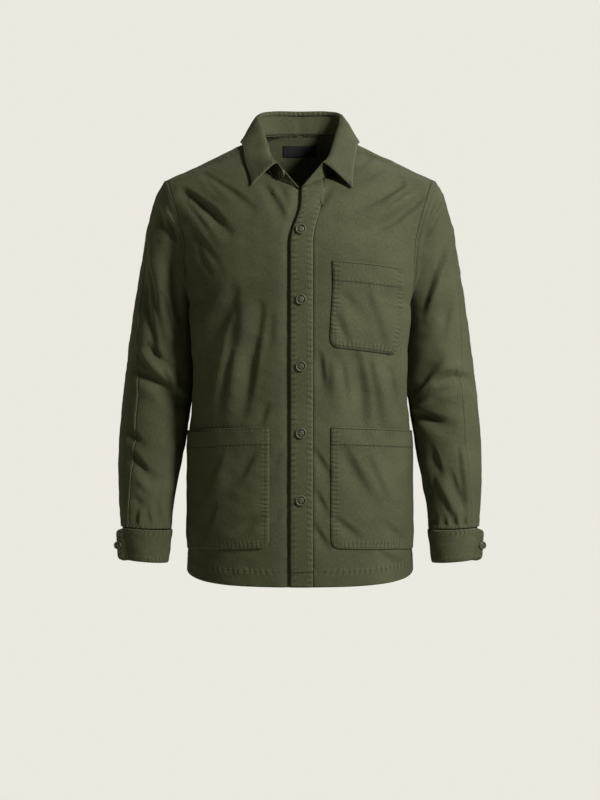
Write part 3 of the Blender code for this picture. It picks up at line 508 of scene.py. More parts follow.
def layStitches(name, finish):
    # one small rounded thread loop, laid again and again along the sewn lines
    bm = bmesh.new()
    bmesh.ops.create_icosphere(bm, subdivisions=1, radius=0.5)
    loop = meshFrom(bm, name)
    shape = np.empty(len(loop.vertices) * 3)
    loop.vertices.foreach_get("co", shape)
    shape = shape.reshape(-1, 3) * (stitchCut["length"], stitchCut["width"], stitchCut["height"])
    allLoops = bmesh.new()
    for line, facing in sewnLines:
        walked = np.concatenate([[0], np.cumsum(np.linalg.norm(np.diff(line, axis=0), axis=1))])
        at = np.arange(stitchCut["pitch"] / 2, walked[-1], stitchCut["pitch"])
        at = at + chance.uniform(-stitchCut["uneven"], stitchCut["uneven"], len(at))
        longer = 1.0
        if len(line) == 2:
            at, longer = walked[-1:] / 2, walked[-1] / stitchCut["length"]
        middle, out = onLine(line, walked, at), unit(onLine(facing, walked, at))
        along = unit(onLine(line, walked, at + 0.5) - middle + 1e-6)
        beside = unit(np.cross(out, along))
        for place, forward, sideways, up in zip(middle, along, beside, out):
            turned = shape * (longer, 1, 1) @ np.array([forward, sideways, up]) + place + up * stitchCut["sunk"]
            loop.vertices.foreach_set("co", (turned * mm).ravel())
            allLoops.from_mesh(loop)
    allLoops.to_mesh(loop)
    allLoops.free()
    sewnLines.clear()
    dress(finishPiece(name, loop, finish))
    print(name, len(loop.polygons), "faces")


# fronts, placket and pockets
frontCut = {
    "plackEdge": -16.0, "plackWidth": 37.0, "swing": 17.5, "swingFrom": -182.0, "swingTo": -92.0,
    "plackRaise": 1.0, "topTilt": 18.0, "underSink": 4.0, "underSwing": 0.7, "underFade": (1, 16), "besidePlack": 0.3,
    # z at the placket, at the pocket's inner edge, at the chest pocket's outer edge, at the side; rows up to the next
    "lines": {
        "pocketLow": (-678, -678, -683, -685, 58),
        "pocketTop": (-481, -481, -486, -489, 38),
        "chestLow": (-347, -351, -364, -372, 42),
        "chestTop": (-207, -211, -221, -227, 36),
    },
    "hemRows": 18, "topRows": 30, "columns": (12, 34, 32), "hemIn": (50, -741), "hemOut": (158, -737),
    "pocketEdge": ((-741, -678, -481, -351, -211, -150), (50, 50, 50, 47.5, 52, 52)),
    "chestEdge": ((-741, -685, -489, -364, -221, -150), (158, 160, 160, 158.5, 167, 167)),
    "underPlack": (1.6, 1.7), "sideTuck": 1.5,
}
bodyCut = {
    "wall": 1.5, "hem": 24.0, "hemEdge": (26.5, 22.5), "hemRise": 0.55, "hemPace": 10, "shoulderStitch": 5.0,
    "shoulderReach": 40, "sideLine": 6.5, "sideStretch": 1.9, "armpitZ": (-304, -284, -258, -238),
}


def plackSwing(z):
    return frontCut["swing"] * ease(frontCut["swingFrom"], frontCut["swingTo"], z)


def frontEdge(z, side):
    if side > 0:
        return frontCut["plackEdge"] + frontCut["plackWidth"] + frontCut["besidePlack"] + plackSwing(z)
    return frontCut["plackEdge"] + frontCut["underSwing"] * plackSwing(z)


def frontNet(side):
    # u and w of a net whose lines follow the pockets, the front edge, the neck and the side
    sideW = np.linspace(0, shoulder, 400)
    sideZ = torsoEdge(sideW)[0][:, 2]
    neckX = softCurve(rowKnots, rowTable[:, 0], sideW, (neckFront, neckBack))
    pastNeck = sideW >= neckFront
    corner = np.interp(frontEdge(frontCut["swingTo"], side), neckX[pastNeck], sideW[pastNeck])
    knotsU, knotsW = [[onFront(*frontCut["hemIn"])[0], onFront(*frontCut["hemOut"])[0], 1]], [[0] * 4]
    steps = [frontCut["hemRows"], *(line[4] for line in frontCut["lines"].values()), frontCut["topRows"]]
    for zIn, zPocket, zChest, zSide, _ in frontCut["lines"].values():
        wIn = onFront(frontEdge(zIn, side), zIn)[1]
        uPocket, wPocket = onFront(np.interp(zPocket, *frontCut["pocketEdge"]), zPocket)
        uChest, wChest = onFront(np.interp(zChest, *frontCut["chestEdge"]), zChest)
        knotsU.append([uPocket, uChest, 1])
        knotsW.append([wIn, wPocket, wChest, np.interp(zSide, sideZ, sideW)])
    knotsU += [[0.1, 0.7, 1], [0.12, 0.62, 1]]
    knotsW += [[corner, corner + 0.1, corner + 0.1, 9.6], [shoulder] * 4]
    line = np.arange(len(knotsW))
    rows = spread(line, steps)
    netU, netW = (
        np.array([np.interp(rows, line, [float(v) for v in column]) for column in zip(*knots)])
        for knots in (knotsU, knotsW)
    )
    edgeW, edgeU = netW[0], np.zeros(len(rows))
    for _ in range(14):
        place, along = signedTorso(edgeU, edgeW), slopes(edgeU, edgeW)[0][..., 0]
        edgeU = edgeU + np.clip((frontEdge(place[..., 2], side) - place[..., 0]) / along, -0.2, 0.2)
        edgeU = np.where(edgeW >= neckFront, np.maximum(edgeU, 0), edgeU)
    edgeU[edgeW >= corner - 1e-6] = 0
    columns = frontCut["columns"]
    u, w = (spread(net, columns).T for net in (np.vstack([edgeU, netU]), netW))
    rowAt = dict(zip(("hem", *frontCut["lines"], "neck", "shoulder"), np.cumsum([0, *steps])))
    return u, w, rowAt, np.cumsum([0, *columns])


def calmArmpit(outer):
    # the form bends a little at the height of the armpit, and cloth has no kink there
    low, fromLow, fromHigh, high = bodyCut["armpitZ"]
    calm = (ease(low, fromLow, outer[..., 2]) * ease(high, fromHigh, outer[..., 2]))[1:-1, 1:-1, None]
    for _ in range(14):
        mean = (outer[:-2] + outer[2:])[:, 1:-1] / 2
        outer[1:-1, 1:-1] += (mean - outer[1:-1, 1:-1]) * 0.6 * calm


def setBackEdges(outer, w, side, behind):
    # the last column stops half a seam short of the sleeve or of the other panel
    onSide = torsoEdge(w[:, -1])[2][:, None]
    back = np.where(onSide, (0, halfSeam * behind, 0), -armholeOutward() * halfSeam)
    outer[:, -1] += back * (side, 1, 1)
    return onSide


def hemRise(fromHem):
    return (ease(*bodyCut["hemEdge"], fromHem) * bodyCut["hemRise"])[..., None]


def crossLines(fromShoulder, across, toSide, way):
    near = fromShoulder < bodyCut["shoulderReach"]
    seam = np.where(near, bodyCut["shoulderStitch"] - fromShoulder, -farAway)
    return [(seam, across), (bodyCut["sideLine"] - toSide, way * bodyCut["sideStretch"])]


def makeFront(side, word):
    u, w, rowAt, colAt = frontNet(side)
    outer, normal = torso(u, w, side)
    if side < 0:
        # the right front dips where the placket lies over it
        lap = -frontCut["plackEdge"] - plackSwing(outer[..., 2])
        under = 1 - ease(*frontCut["underFade"], outer[..., 0] * side - lap)
        outer = outer - normal * (frontCut["underSink"] * under)[..., None]
    else:
        # the left front's sewn edge lies under the placket
        inward, deep = frontCut["underPlack"]
        outer[:, 0] += (-inward, 0, 0) - normal[:, 0] * deep
    calmArmpit(outer)
    onSide = setBackEdges(outer, w, side, -1)
    outer[-1] += (0, -halfSeam, 0)
    up, fromTop, across, toSide = fromEdges(outer)
    # the side edge is tucked under the back, so that no light shows through the seam
    tucked, tuck = outer + normal * hemRise(up), frontCut["sideTuck"]
    tucked[:, -1] += np.where(onSide, (0, tuck, 0) - normal[:, -1] * tuck, 0)
    cross = crossLines(fromTop, across + 15, toSide, up + 40)
    piece = clothPiece(
        f"front_{word}_cloth", tucked, bodyCut["wall"], twill, [(bodyCut["hem"] - up, across)], (30 * side, 0),
        side < 0, cross, up, bodyCut["hemPace"],
    )
    layCloth(piece, f"front_{word}", across[:, -1], up[-1], "hung", gridArea(outer))
    sewLine(outer, normal, up, bodyCut["hem"], 0)
    return {"outer": outer, "normal": normal, "rows": rowAt, "columns": colAt, "side": side}


def roundCorner(grid, row, column, reach):
    # squares of the corner become arcs round it
    down, along = runLength(grid, 0), runLength(grid, 1)
    p = np.maximum(0, reach - np.abs(down - down[[row]]))
    q = np.maximum(0, reach - np.abs(along - along[:, [column]]))
    both = (p > 0) & (q > 0)
    shrink = np.where(both, 1 - np.maximum(p, q) / np.maximum(np.hypot(p, q), 1e-6), 0)
    inRow = unit(np.gradient(grid, axis=0)) * (1 if row == 0 else -1)
    inColumn = unit(np.gradient(grid, axis=1)) * (1 if column == 0 else -1)
    return grid + inRow * (p * shrink)[..., None] + inColumn * (q * shrink)[..., None]


pocketCut = {
    "wall": 1.1, "round": 15.0, "soft": 24, "lift": 1.7, "belly": 1.5, "bellyTop": (-6, 40), "mouth": 1.1,
    "mouthReach": 46, "bandStep": 0.35, "bandEdge": 1.5, "stitches": (2.2, 8.4), "weave": (200, 300), "pace": 7.3,
}


def makePocket(node, front, rows, columns, topBand, corners, freeEnd):
    part = (slice(rows[0], rows[1] + 1), slice(columns[0], columns[1] + 1))
    patch, out, cut = front["outer"][part].copy(), front["normal"][part], pocketCut
    up, fromTop, across, toEnd = fromEdges(patch)
    for row, column in corners:
        patch = roundCorner(patch, row, column, cut["round"])
    ends = ease(0, cut["soft"], across) * (ease(0, cut["soft"], toEnd) if freeEnd else 1)
    belly = cut["belly"] * ease(0, cut["soft"], up) * ends * ease(*cut["bellyTop"], fromTop)
    height = cut["lift"] + belly + cut["mouth"] * ease(cut["mouthReach"], 0, fromTop) * ends
    height = height + cut["bandStep"] * ease(topBand + cut["bandEdge"], topBand - cut["bandEdge"], fromTop)
    raised = patch + out * height[..., None]
    # a lower pocket has no sewn edge of its own at the side seam
    edge = np.minimum(across, up)
    edge = np.minimum(edge, toEnd) if freeEnd else edge
    way = np.maximum(np.minimum(across, toEnd) if freeEnd else across, up)
    outerLine, innerLine = cut["stitches"]
    lines = [(edge - outerLine, way), (innerLine - edge, way)]
    cross = [(topBand - fromTop, across + 7), (fromTop - 2.0, across + 4)]
    piece = clothPiece(
        f"{node}_cloth", raised, cut["wall"], twill, lines, cut["weave"], front["side"] < 0, cross,
        np.minimum(edge, fromTop), cut["pace"],
    )
    layCloth(piece, node, across[:, -1], up[-1], "stretched", gridArea(raised))
    inside = (across >= 2.0) & (toEnd >= (2.0 if freeEnd else -1))
    for offset in cut["stitches"]:
        past = offset - 0.2
        sewLine(raised, out, up, offset, 0, inside & (across >= past))
        for field in (across, toEnd) if freeEnd else (across,):
            sewLine(raised, out, field, offset, 1, up >= past)
    sewLine(raised, out, fromTop, topBand, 0, inside)


def placketPoints(x, z):
    return torso(*onFront(x, z), 1)


placketCut = {"wall": 1.7, "columns": 14, "stitch": 5.0, "pace": 9.4, "crown": 0.5, "wave": 0.3, "edgeRaise": 0.1}


def makePlacket(front):
    cut = placketCut
    z = front["outer"][: front["rows"]["neck"] + 1, 0, 2]
    across = np.linspace(0, 1, cut["columns"])
    tilt = frontCut["topTilt"] * ease(-190, frontCut["swingTo"] + 8, z)[:, None] * (across - 1)
    x = frontCut["plackEdge"] + plackSwing(z)[:, None] + frontCut["plackWidth"] * across
    point, normal = placketPoints(x, z[:, None] + tilt)
    up, _, over, toEnd = fromEdges(point)
    # the sewn edges pucker, so the strip lies in small waves between them
    waves = puckers(up, up, 7.4, 1.3, 23) * ease(12, 3, over) + puckers(up, up, 6.9, 1.5, 31, 2) * ease(12, 3, toEnd)
    crown = cut["crown"] * ease(0, 5, over) * ease(0, 5, toEnd)
    raised = cut["edgeRaise"] + (frontCut["plackRaise"] - cut["edgeRaise"]) * ease(0, 9, toEnd)
    outer = point + normal * (raised + crown + cut["wave"] * waves)[..., None]
    piece = clothPiece(
        "placket_cloth", outer, cut["wall"], twill, [(cut["stitch"] - over, up), (cut["stitch"] - toEnd, up + 3)],
        (80, 0), False, [(bodyCut["hem"] - up, over)], np.minimum(over, toEnd), cut["pace"],
    )
    layCloth(piece, "placket_left", over[:, -1], up[-1], "stretched", gridArea(outer))
    for field in (over, toEnd):
        sewLine(outer, normal, field, cut["stitch"], 1)


# back
backCut = {"rows": (34, 84, 100), "columns": 66, "neckLine": 4.0}


def makeBack():
    toNeck, toArmpit, toHem = backCut["rows"]
    fall = rowTable[armpitBack][2] - rowTable[armpitBack:, 2]
    below = armpitBack + np.interp(np.linspace(0, fall[-1], toHem + 1)[1:], fall, np.arange(len(fall)))
    w = np.concatenate([spread((shoulder, neckBack, armpitBack), (toNeck, toArmpit)), below])
    w, u = np.meshgrid(w, np.linspace(0, 1, backCut["columns"]), indexing="ij")
    halves = []
    for side, word in ((1, "left"), (-1, "right")):
        outer, normal = torso(u, w, side)
        calmArmpit(outer)
        setBackEdges(outer, w, side, 1)
        outer[0] += (0, halfSeam, 0)
        centre = w[:, 0] >= neckBack
        outer[centre, 0, 0] = 0
        down, fromHem, across, toSide = fromEdges(outer)
        rim = outer[~centre | (np.cumsum(centre) == 1), 0]
        gap = np.linalg.norm(outer[:, :, None] - rim, axis=-1)
        neckRun = runLength(rim[:, None], 0)[:, 0][gap.argmin(axis=-1)]
        lines = [(bodyCut["hem"] - fromHem, across), (backCut["neckLine"] - gap.min(axis=-1), neckRun)]
        cross = crossLines(down, across, toSide, down)
        piece = clothPiece(
            f"back_{word}_half", outer + normal * hemRise(fromHem), bodyCut["wall"], twill, lines, (0, 0),
            side < 0, cross, fromHem, bodyCut["hemPace"],
        )
        sewLine(outer, normal, fromHem, bodyCut["hem"], 0)
        sewLine(outer, normal, down, bodyCut["shoulderStitch"], 0)
        halves.append((piece, gridArea(outer)))
    (left, leftArea), (right, rightArea) = halves
    bm = bmesh.new()
    for half in (left, right):
        bm.from_mesh(half.data)
    bmesh.ops.remove_doubles(bm, verts=bm.verts, dist=2e-5)
    bm.to_mesh(left.data)
    bm.free()
    bpy.data.objects.remove(right)
    left.name = "back_cloth"
    long = down[-1, backCut["columns"] // 2]
    layCloth(left, "back", 2 * across[:, -1], long, "hung", leftArea + rightArea)


# Sleeves. Rings below the armhole: outer x, z; inner x, z; centre y; depth front, back; turn of the outer seam
sleeveCut = {
    "rings": (
        (248, -100, 180, -292, 10, 72, 68, 22),
        (261, -148, 181, -303, 13, 70, 68, 26),
        (270, -200, 180, -319, 17, 68, 66, 30),
        (281, -267, 178, -341, 19, 66, 64, 38),
        (290, -330, 177, -373, 19, 65, 62, 46),
        (296.5, -385, 180, -412, 17, 62, 60, 54),
        (301, -425, 185.5, -442, 13, 60, 59, 60),
        (305, -470, 191, -481, 6, 58, 57, 62),
        (307, -520, 198, -526, -4, 54, 52, 63),
        (306.5, -570, 207, -575, -16, 50, 46, 60),
        (303, -620, 214, -622, -30, 45, 40, 54),
        (300.5, -648, 215.5, -652, -39, 41, 37, 50),
    ),
    "rows": (25, 105), "pieces": (("fore", 1, 54), ("hind", -1, 66)), "wall": 1.4, "gapTurn": 0.15, "topTurn": 16,
    "grounds": ((0.6, 8, 300, 7, 90, 45), (0.3, 9, 300, 9, 40, 20)), "gathers": (0.9, 57.3, 13), "swell": 0.5,
    # half-width, height, then x and z; minus x is the right sleeve
    "front": [
        (9, -5.0, (-236, -118), (-214, -150), (-195, -186)),
        (7, 3.0, (-222, -116), (-206, -150), (-197, -172)),
        (7, -2.6, (-214, -108), (-203, -140)),
        (9, -4.4, (-264, -208), (-258, -274), (-247, -340), (-244, -364)),
        (11, 5.0, (-254, -152), (-247, -196), (-236, -242), (-228, -291), (-220, -325)),
        (8, 3.0, (-231, -120), (-217, -152)),
        (10, -3.4, (-214, -180), (-208, -250), (-200, -330)),
        (8, -3.0, (-228, -262), (-214, -318)),
        (8, 2.0, (-262, -290), (-262, -350)),
        (9, -6.4, (-274, -388), (-236, -407), (-200, -434)),
        (8, 4.6, (-264, -362), (-246, -382), (-224, -400)),
        (7, 3.0, (-230, -376), (-214, -404), (-204, -430)),
        (7, -3.0, (-258, -344), (-236, -366), (-214, -384)),
        (8, -3.6, (-288, -488), (-266, -510)),
        (8, -4.4, (-277, -534), (-256, -556), (-236, -568)),
        (7, 2.8, (-280, -516), (-256, -538)),
        (7, -2.8, (-278, -598), (-260, -610)),
        (6, 2.0, (-270, -570), (-250, -588)),
        (6, -2.4, (-236, -612), (-232, -640)),
        (6, -2.2, (-252, -622), (-250, -644)),
        (6, -2.4, (-270, -624), (-272, -645)),
        (9, -5.0, (225, -97), (214, -126), (204, -158)),
        (8, -4.0, (238, -114), (218, -148), (200, -178)),
        (6, 2.4, (232, -104), (212, -140)),
        (10, -5.2, (250, -170), (224, -228), (203, -282)),
        (9, 3.8, (254, -148), (249, -186), (246, -214)),
        (8, 2.6, (236, -226), (222, -262), (214, -300)),
        (8, -2.8, (256, -262), (240, -322)),
        (9, -6.6, (200, -460), (224, -470), (250, -477)),
        (9, -5.4, (187, -430), (208, -402), (230, -374)),
        (8, 5.0, (193, -455), (212, -444), (232, -434)),
        (9, -4.8, (232, -408), (262, -398), (283, -400), (296, -417)),
        (8, 3.2, (238, -386), (268, -380)),
        (7, 3.2, (232, -430), (262, -428)),
        (8, 3.4, (230, -570), (248, -604), (264, -640)),
        (8, 3.2, (270, -522), (276, -576), (282, -632)),
        (8, -3.2, (222, -520), (232, -560)),
        (7, -2.6, (252, -560), (266, -604)),
        (6, -2.6, (240, -634), (240, -650)),
        (6, -2.6, (256, -630), (257, -650)),
        (6, -2.4, (272, -634), (273, -650)),
        (6, -2.0, (226, -632), (224, -650)),
    ],
    "back": [
        (9, -4.5, (-238, -128), (-220, -160), (-204, -194)),
        (9, -4.0, (-260, -212), (-252, -260), (-241, -304)),
        (9, -5.6, (-294, -402), (-248, -424), (-208, -414)),
        (8, 4.4, (-286, -378), (-240, -398)),
        (8, -3.2, (-292, -440), (-262, -452)),
        (8, -4.0, (-284, -506), (-244, -542)),
        (7, 2.6, (-290, -540), (-262, -566)),
        (6, -2.4, (-246, -626), (-246, -648)),
        (6, -2.4, (-272, -626), (-274, -648)),
        (9, -4.5, (240, -124), (222, -158), (206, -190)),
        (9, -4.0, (262, -218), (252, -262), (239, -300)),
        (9, -5.6, (292, -396), (246, -420), (206, -408)),
        (8, 4.4, (282, -372), (238, -394)),
        (8, -3.2, (290, -444), (258, -458)),
        (8, -4.0, (286, -510), (248, -550)),
        (7, 2.6, (292, -548), (264, -580)),
        (6, -2.4, (248, -626), (248, -648)),
        (6, -2.4, (274, -626), (276, -648)),
    ],
}
ringTable = np.array(sleeveCut["rings"], float)
lastRing = len(ringTable)


def ringPoint(turn, sizes):
    outerX, outerZ, innerX, innerZ, y, front, back = (sizes[..., k] for k in range(7))
    angle = np.radians(turn)
    across = np.cos(angle)
    x, z = ((far + near) / 2 + across * (far - near) / 2 for far, near in ((outerX, innerX), (outerZ, innerZ)))
    return np.stack([x, y - np.where(turn > 0, front, back) * np.sin(angle), z], axis=-1)


def plainSleeve(turn, s):
    knots, sizes = np.arange(1, lastRing + 1), ringTable[:, :7]
    ring = ringPoint(turn, softCurve(knots, sizes, np.maximum(s, 1)))
    first = ringPoint(turn, np.broadcast_to(sizes[0], turn.shape + (7,)))
    after = ringPoint(turn, softCurve(knots, sizes, np.full_like(turn, 1.01)))
    start = armhole(turn) + armholeOutward() * halfSeam
    t = np.clip(s, 0, 1)[..., None]
    rise = (t**3 - 2 * t**2 + t) * (first - start) + (t**3 - t**2) * (after - first) * 100
    cap = start + (3 * t**2 - 2 * t**3) * (first - start) + rise
    return np.where((s < 1)[..., None], cap, ring)


def sleevePoints(turn, s, side):
    low, high = np.clip(s - 0.01, 0, lastRing), np.clip(s + 0.01, 0, lastRing)
    aroundStep = plainSleeve(turn + 0.2, s) - plainSleeve(turn - 0.2, s)
    normal = unit(np.cross(aroundStep, plainSleeve(turn, high) - plainSleeve(turn, low)))
    point = plainSleeve(turn, s)
    fade = ease(0, 0.5, s) * ease(-lastRing, 0.3 - lastRing, -s)
    facing = np.sin(np.radians(turn))
    x, z = point[..., 0] * side, point[..., 2]
    height = ease(0, 0.4, facing) * foldHeight(sleeveCut["front"], x, z)
    height += ease(0, 0.4, -facing) * foldHeight(sleeveCut["back"], x, z)
    ground = unevenness(sleeveCut["grounds"], x, z, ease(-0.3, 0.3, facing))
    rise, degrees, waves = sleeveCut["gathers"]
    crown = rise * np.sin(turn / degrees * waves) * ease(1.2, 0.2, s) * ease(0, 0.15, s)
    point = point + normal * ((height + ground + crown) * fade)[..., None]
    return point * (side, 1, 1), normal * (side, 1, 1)


def makeSleeve(side, word):
    rows = spread((0, 1, lastRing), sleeveCut["rows"])
    seam = softCurve(np.arange(lastRing + 1), np.append(sleeveCut["topTurn"], ringTable[:, 7]), rows)
    for name, way, columns in sleeveCut["pieces"]:
        near = seam + sleeveCut["gapTurn"] * way
        turn = np.linspace(near, np.full_like(near, (180 - sleeveCut["gapTurn"]) * way), columns).T
        outer, normal = sleevePoints(turn, np.broadcast_to(rows[:, None], turn.shape), side)
        down, up, across, _ = fromEdges(outer)
        edge = farAway
        if way < 0:
            # the hind piece swells a little over the fore piece along the plain outer seam, and is worn there
            swell = sleeveCut["swell"] * ease(6, 2, across)
            outer = outer + normal * (swell * ease(0, 10, down))[..., None]
            edge = across * 0.8 + 0.4
        lines = [(4.0 - down, across * 1.5), (-1.0 - up, across)]
        piece = clothPiece(
            f"sleeve_{word}_{name}_cloth", outer, sleeveCut["wall"], twill, lines, (400, 0), way != side, (), edge
        )
        layCloth(piece, f"sleeve_{word}_{name}", across[:, -1], down, "hung", gridArea(outer))


# cuffs
cuffCut = {
    "top": (301.5, -649, 213.5, -653.5, -39, 42, 38), "bottom": (294, -702, 220, -708, -47, 37, 33),
    "wall": 2.3, "lapTurn": 40.0, "tab": (307.5, 0.46), "sink": 3.5, "round": 9.0, "steps": 120, "levels": 22,
    "drop": 0.3, "flat": 0.8, "wave": (0.35, 7.6, 1.4, 19), "ground": (0.5, 21, 6, 60, 28), "stitch": 4.5,
}


def cuffPath():
    # turn, share of the lap's straight run, depth below the outer layer
    lap = [(cuffCut["lapTurn"], share, 0.0) for share in np.linspace(1, 0.06, 14)]
    turns = np.linspace(cuffCut["lapTurn"], 360 + cuffCut["lapTurn"] - 6, cuffCut["steps"])
    return np.array(lap + [(turn, 0.0, cuffCut["sink"] * ease(318, 352, turn)) for turn in turns])


def cuffPoints():
    top, bottom = np.array(cuffCut["top"], float), np.array(cuffCut["bottom"], float)
    path = cuffPath()
    height = np.hypot(top[1] - bottom[1], top[0] - bottom[0])
    turn = np.where(path[:, 0] > 180, path[:, 0] - 360, path[:, 0])
    rows = []
    for level in np.linspace(0, 1, cuffCut["levels"]):
        sizes = top + (bottom - top) * level
        line = ringPoint(turn, np.broadcast_to(sizes, (len(path), 7)))
        corner = np.maximum(0, np.abs(level - 0.5) * height - height / 2 + cuffCut["round"])
        recede = cuffCut["round"] - np.sqrt(np.maximum(0, cuffCut["round"] ** 2 - corner**2))
        tabX, tabDepth = cuffCut["tab"]
        tabEnd = np.array((tabX - recede - 4 * level, sizes[4] - tabDepth * sizes[5], sizes[1] - 2))
        line += path[:, 1:2] * (tabEnd - line)
        rows.append(line)
    outer = np.array(rows)
    # the turn from the lap onto the ring is eased, as stiff cloth bends
    for _ in range(3):
        outer[:, 8:22] = (outer[:, 7:21] + 2 * outer[:, 8:22] + outer[:, 9:23]) / 4
    along, down = np.gradient(outer, axis=1), np.broadcast_to(outer[-1] - outer[0], outer.shape)
    normal = unit(np.cross(along, down))
    return outer - normal * path[:, 2][None, :, None], normal


def makeCuff(side, word):
    cut = cuffCut
    outer, normal = cuffPoints()
    outer = outer + np.array((0.05, 0, -1)) * cut["drop"]
    down, up, across, _ = fromEdges(outer)
    edge = np.minimum(np.minimum(up, down), across)
    rise, *spacing = cut["wave"]
    wave = rise * puckers(across, across, *spacing)
    uneven, seed, *waves = cut["ground"]
    crown = cut["flat"] * ease(0, 5, edge) + wave * ease(14, 4, edge) * ease(0, 2, edge)
    crown = crown + uneven * ripples(seed + side, across, down, *waves) * ease(4, 14, edge)
    outer = (outer + normal * (crown - cut["flat"])[..., None]) * (side, 1, 1)
    normal = normal * (side, 1, 1)
    lines = [(cut["stitch"] - edge, np.maximum(across, np.minimum(up, down)))]
    piece = clothPiece(f"cuff_{word}_cloth", outer, cut["wall"], twill, lines, (500, 0), side < 0, (), edge)
    layCloth(piece, f"cuff_{word}", across[10], down, "stretched", gridArea(outer))
    past = cut["stitch"] - 0.2
    for field in (down, up):
        sewLine(outer, normal, field, cut["stitch"], 0, across >= past)
    sewLine(outer, normal, across, cut["stitch"], 1, (up >= past) & (down >= past))
    return outer, normal


# Collar. Neckline row; roll line x, y, z; free edge x, y, z; height of the free edge over the body
collarCut = {
    "rows": (
        (9.04, 38, -97, -48, 83.5, -104, -89, 3.5),
        (10, 45, -80, -40, 87, -72, -60, 2.4),
        (11, 52, -40, -22, 92, -36, -31, 3.0),
        (12, 57.5, -12, -1, 96, -8, -8, 3.2),
        (13, 63, 15, 21, 98.5, 16, -3, 4.0),
        (14, 70.5, 45, 52, 92, 50, 3, 5.5),
        (15, 47, 70, 62, 58, 84, 12, 7.0),
        (16, 0, 77, 63, 0, 90, 14, 8.0),
    ),
    "standWall": 2.0, "standLift": 0.6, "leafWall": 1.7, "leafThick": 2.2, "leafGap": 0.6, "steps": 70,
    "standLevels": 14, "leafLevels": 34, "standStitch": 2.5, "leafStitch": 6.0, "topStitch": 2.0,
    "standWave": (0.3, 8, 1.5, 21), "leafWave": (0.3, 7.2, 1.2, 17), "leafGround": (0.5, 31, 6, 70, 30),
    "pointReach": 1.6, "pointLeft": (0, 0, -8.0), "pointRight": (-7.0, 0, -1.0),
    # over the top of the stand and a little way down inside it: inward, up
    "overTop": ((4.4, -6.0), (4.5, -3.0), (4.1, 0.0), (3.2, 1.7), (1.6, 2.8), (0.2, 2.9), (-1.0, 2.4)),
}
collarTable = np.array(collarCut["rows"], float)
collarKnots = np.arange(len(collarTable))
lastKnot = len(collarTable) - 1


def standPoints(k, v, side):
    w = softCurve(collarKnots, collarTable[:, 0], k)
    neck = signedTorso(np.zeros_like(w), w) * (side, 1, 1)
    roll = softCurve(collarKnots, collarTable[:, 1:4], k) * (side, 1, 1)
    lift = unit(roll - neck) * collarCut["standLift"]
    return neck + lift + (roll - neck - lift) * v[..., None]


def standInward(k, side):
    half = np.full_like(k, 0.5)
    high, low = np.clip(k + 0.02, 0, lastKnot), np.clip(k - 0.02, 0, lastKnot)
    along = standPoints(high, half, side) - standPoints(low, half, side)
    up = standPoints(k, np.ones_like(k), side) - standPoints(k, np.zeros_like(k), side)
    return unit(np.cross(along, up)) * -side


def leafPoints(k, v, side):
    # the leaf's under face, from the roll line down to its free edge
    out = -standInward(k, side)
    roll = standPoints(k, np.ones_like(k), side) + out * collarCut["leafGap"]
    free = softCurve(collarKnots, collarTable[:, 4:7], k)
    move = collarCut["pointLeft"] if side > 0 else collarCut["pointRight"]
    free = free + ease(collarCut["pointReach"], 0, k)[..., None] * move
    u, w = findOnTorso(free, softCurve(collarKnots, collarTable[:, 0], k) + 0.3, (1, 1, 1))
    place, normal = torso(u, w, side)
    free = place + normal * softCurve(collarKnots, collarTable[:, 7], k)[..., None]
    trail = free + (roll - free) * 0.35 + out * 3
    return bezier(v, roll, roll + out * 6 + np.array((0, 0, 4.0)), trail, free)


def wholeCollar(makePoints, levels):
    k, v = np.meshgrid(np.linspace(0, lastKnot, collarCut["steps"]), np.linspace(0, 1, levels), indexing="ij")
    left, right = makePoints(k, v, 1), makePoints(k, v, -1)
    left[-1, :, 0] = right[-1, :, 0] = 0
    return np.concatenate([right, left[-2::-1]])


def makeStand():
    cut = collarCut
    outer = wholeCollar(standPoints, cut["standLevels"])
    inward = unit(wholeCollar(lambda k, v, side: standInward(k, side), cut["standLevels"]))
    along, toLeft, up, toTop = fromEdges(outer)
    rise, *spacing = cut["standWave"]
    outer = outer - inward * (rise * puckers(along, along, *spacing) * ease(9, 3, up))[..., None]
    ends = np.minimum(along, toLeft)
    lines = [(cut["standStitch"] - up, along), (1.8 - toTop, along), (3.0 - ends, up)]
    piece = clothPiece("collar_stand_cloth", outer, cut["standWall"], twill, lines, (600, 0))
    layCloth(piece, "collar_stand", along, up, "stretched", gridArea(outer))
    sewLine(outer + inward * (cut["standWall"] + 0.05), inward, up, cut["standStitch"], 1)
    sewLine(outer, -inward, up, cut["standStitch"], 1)
    return inward[:, -1]


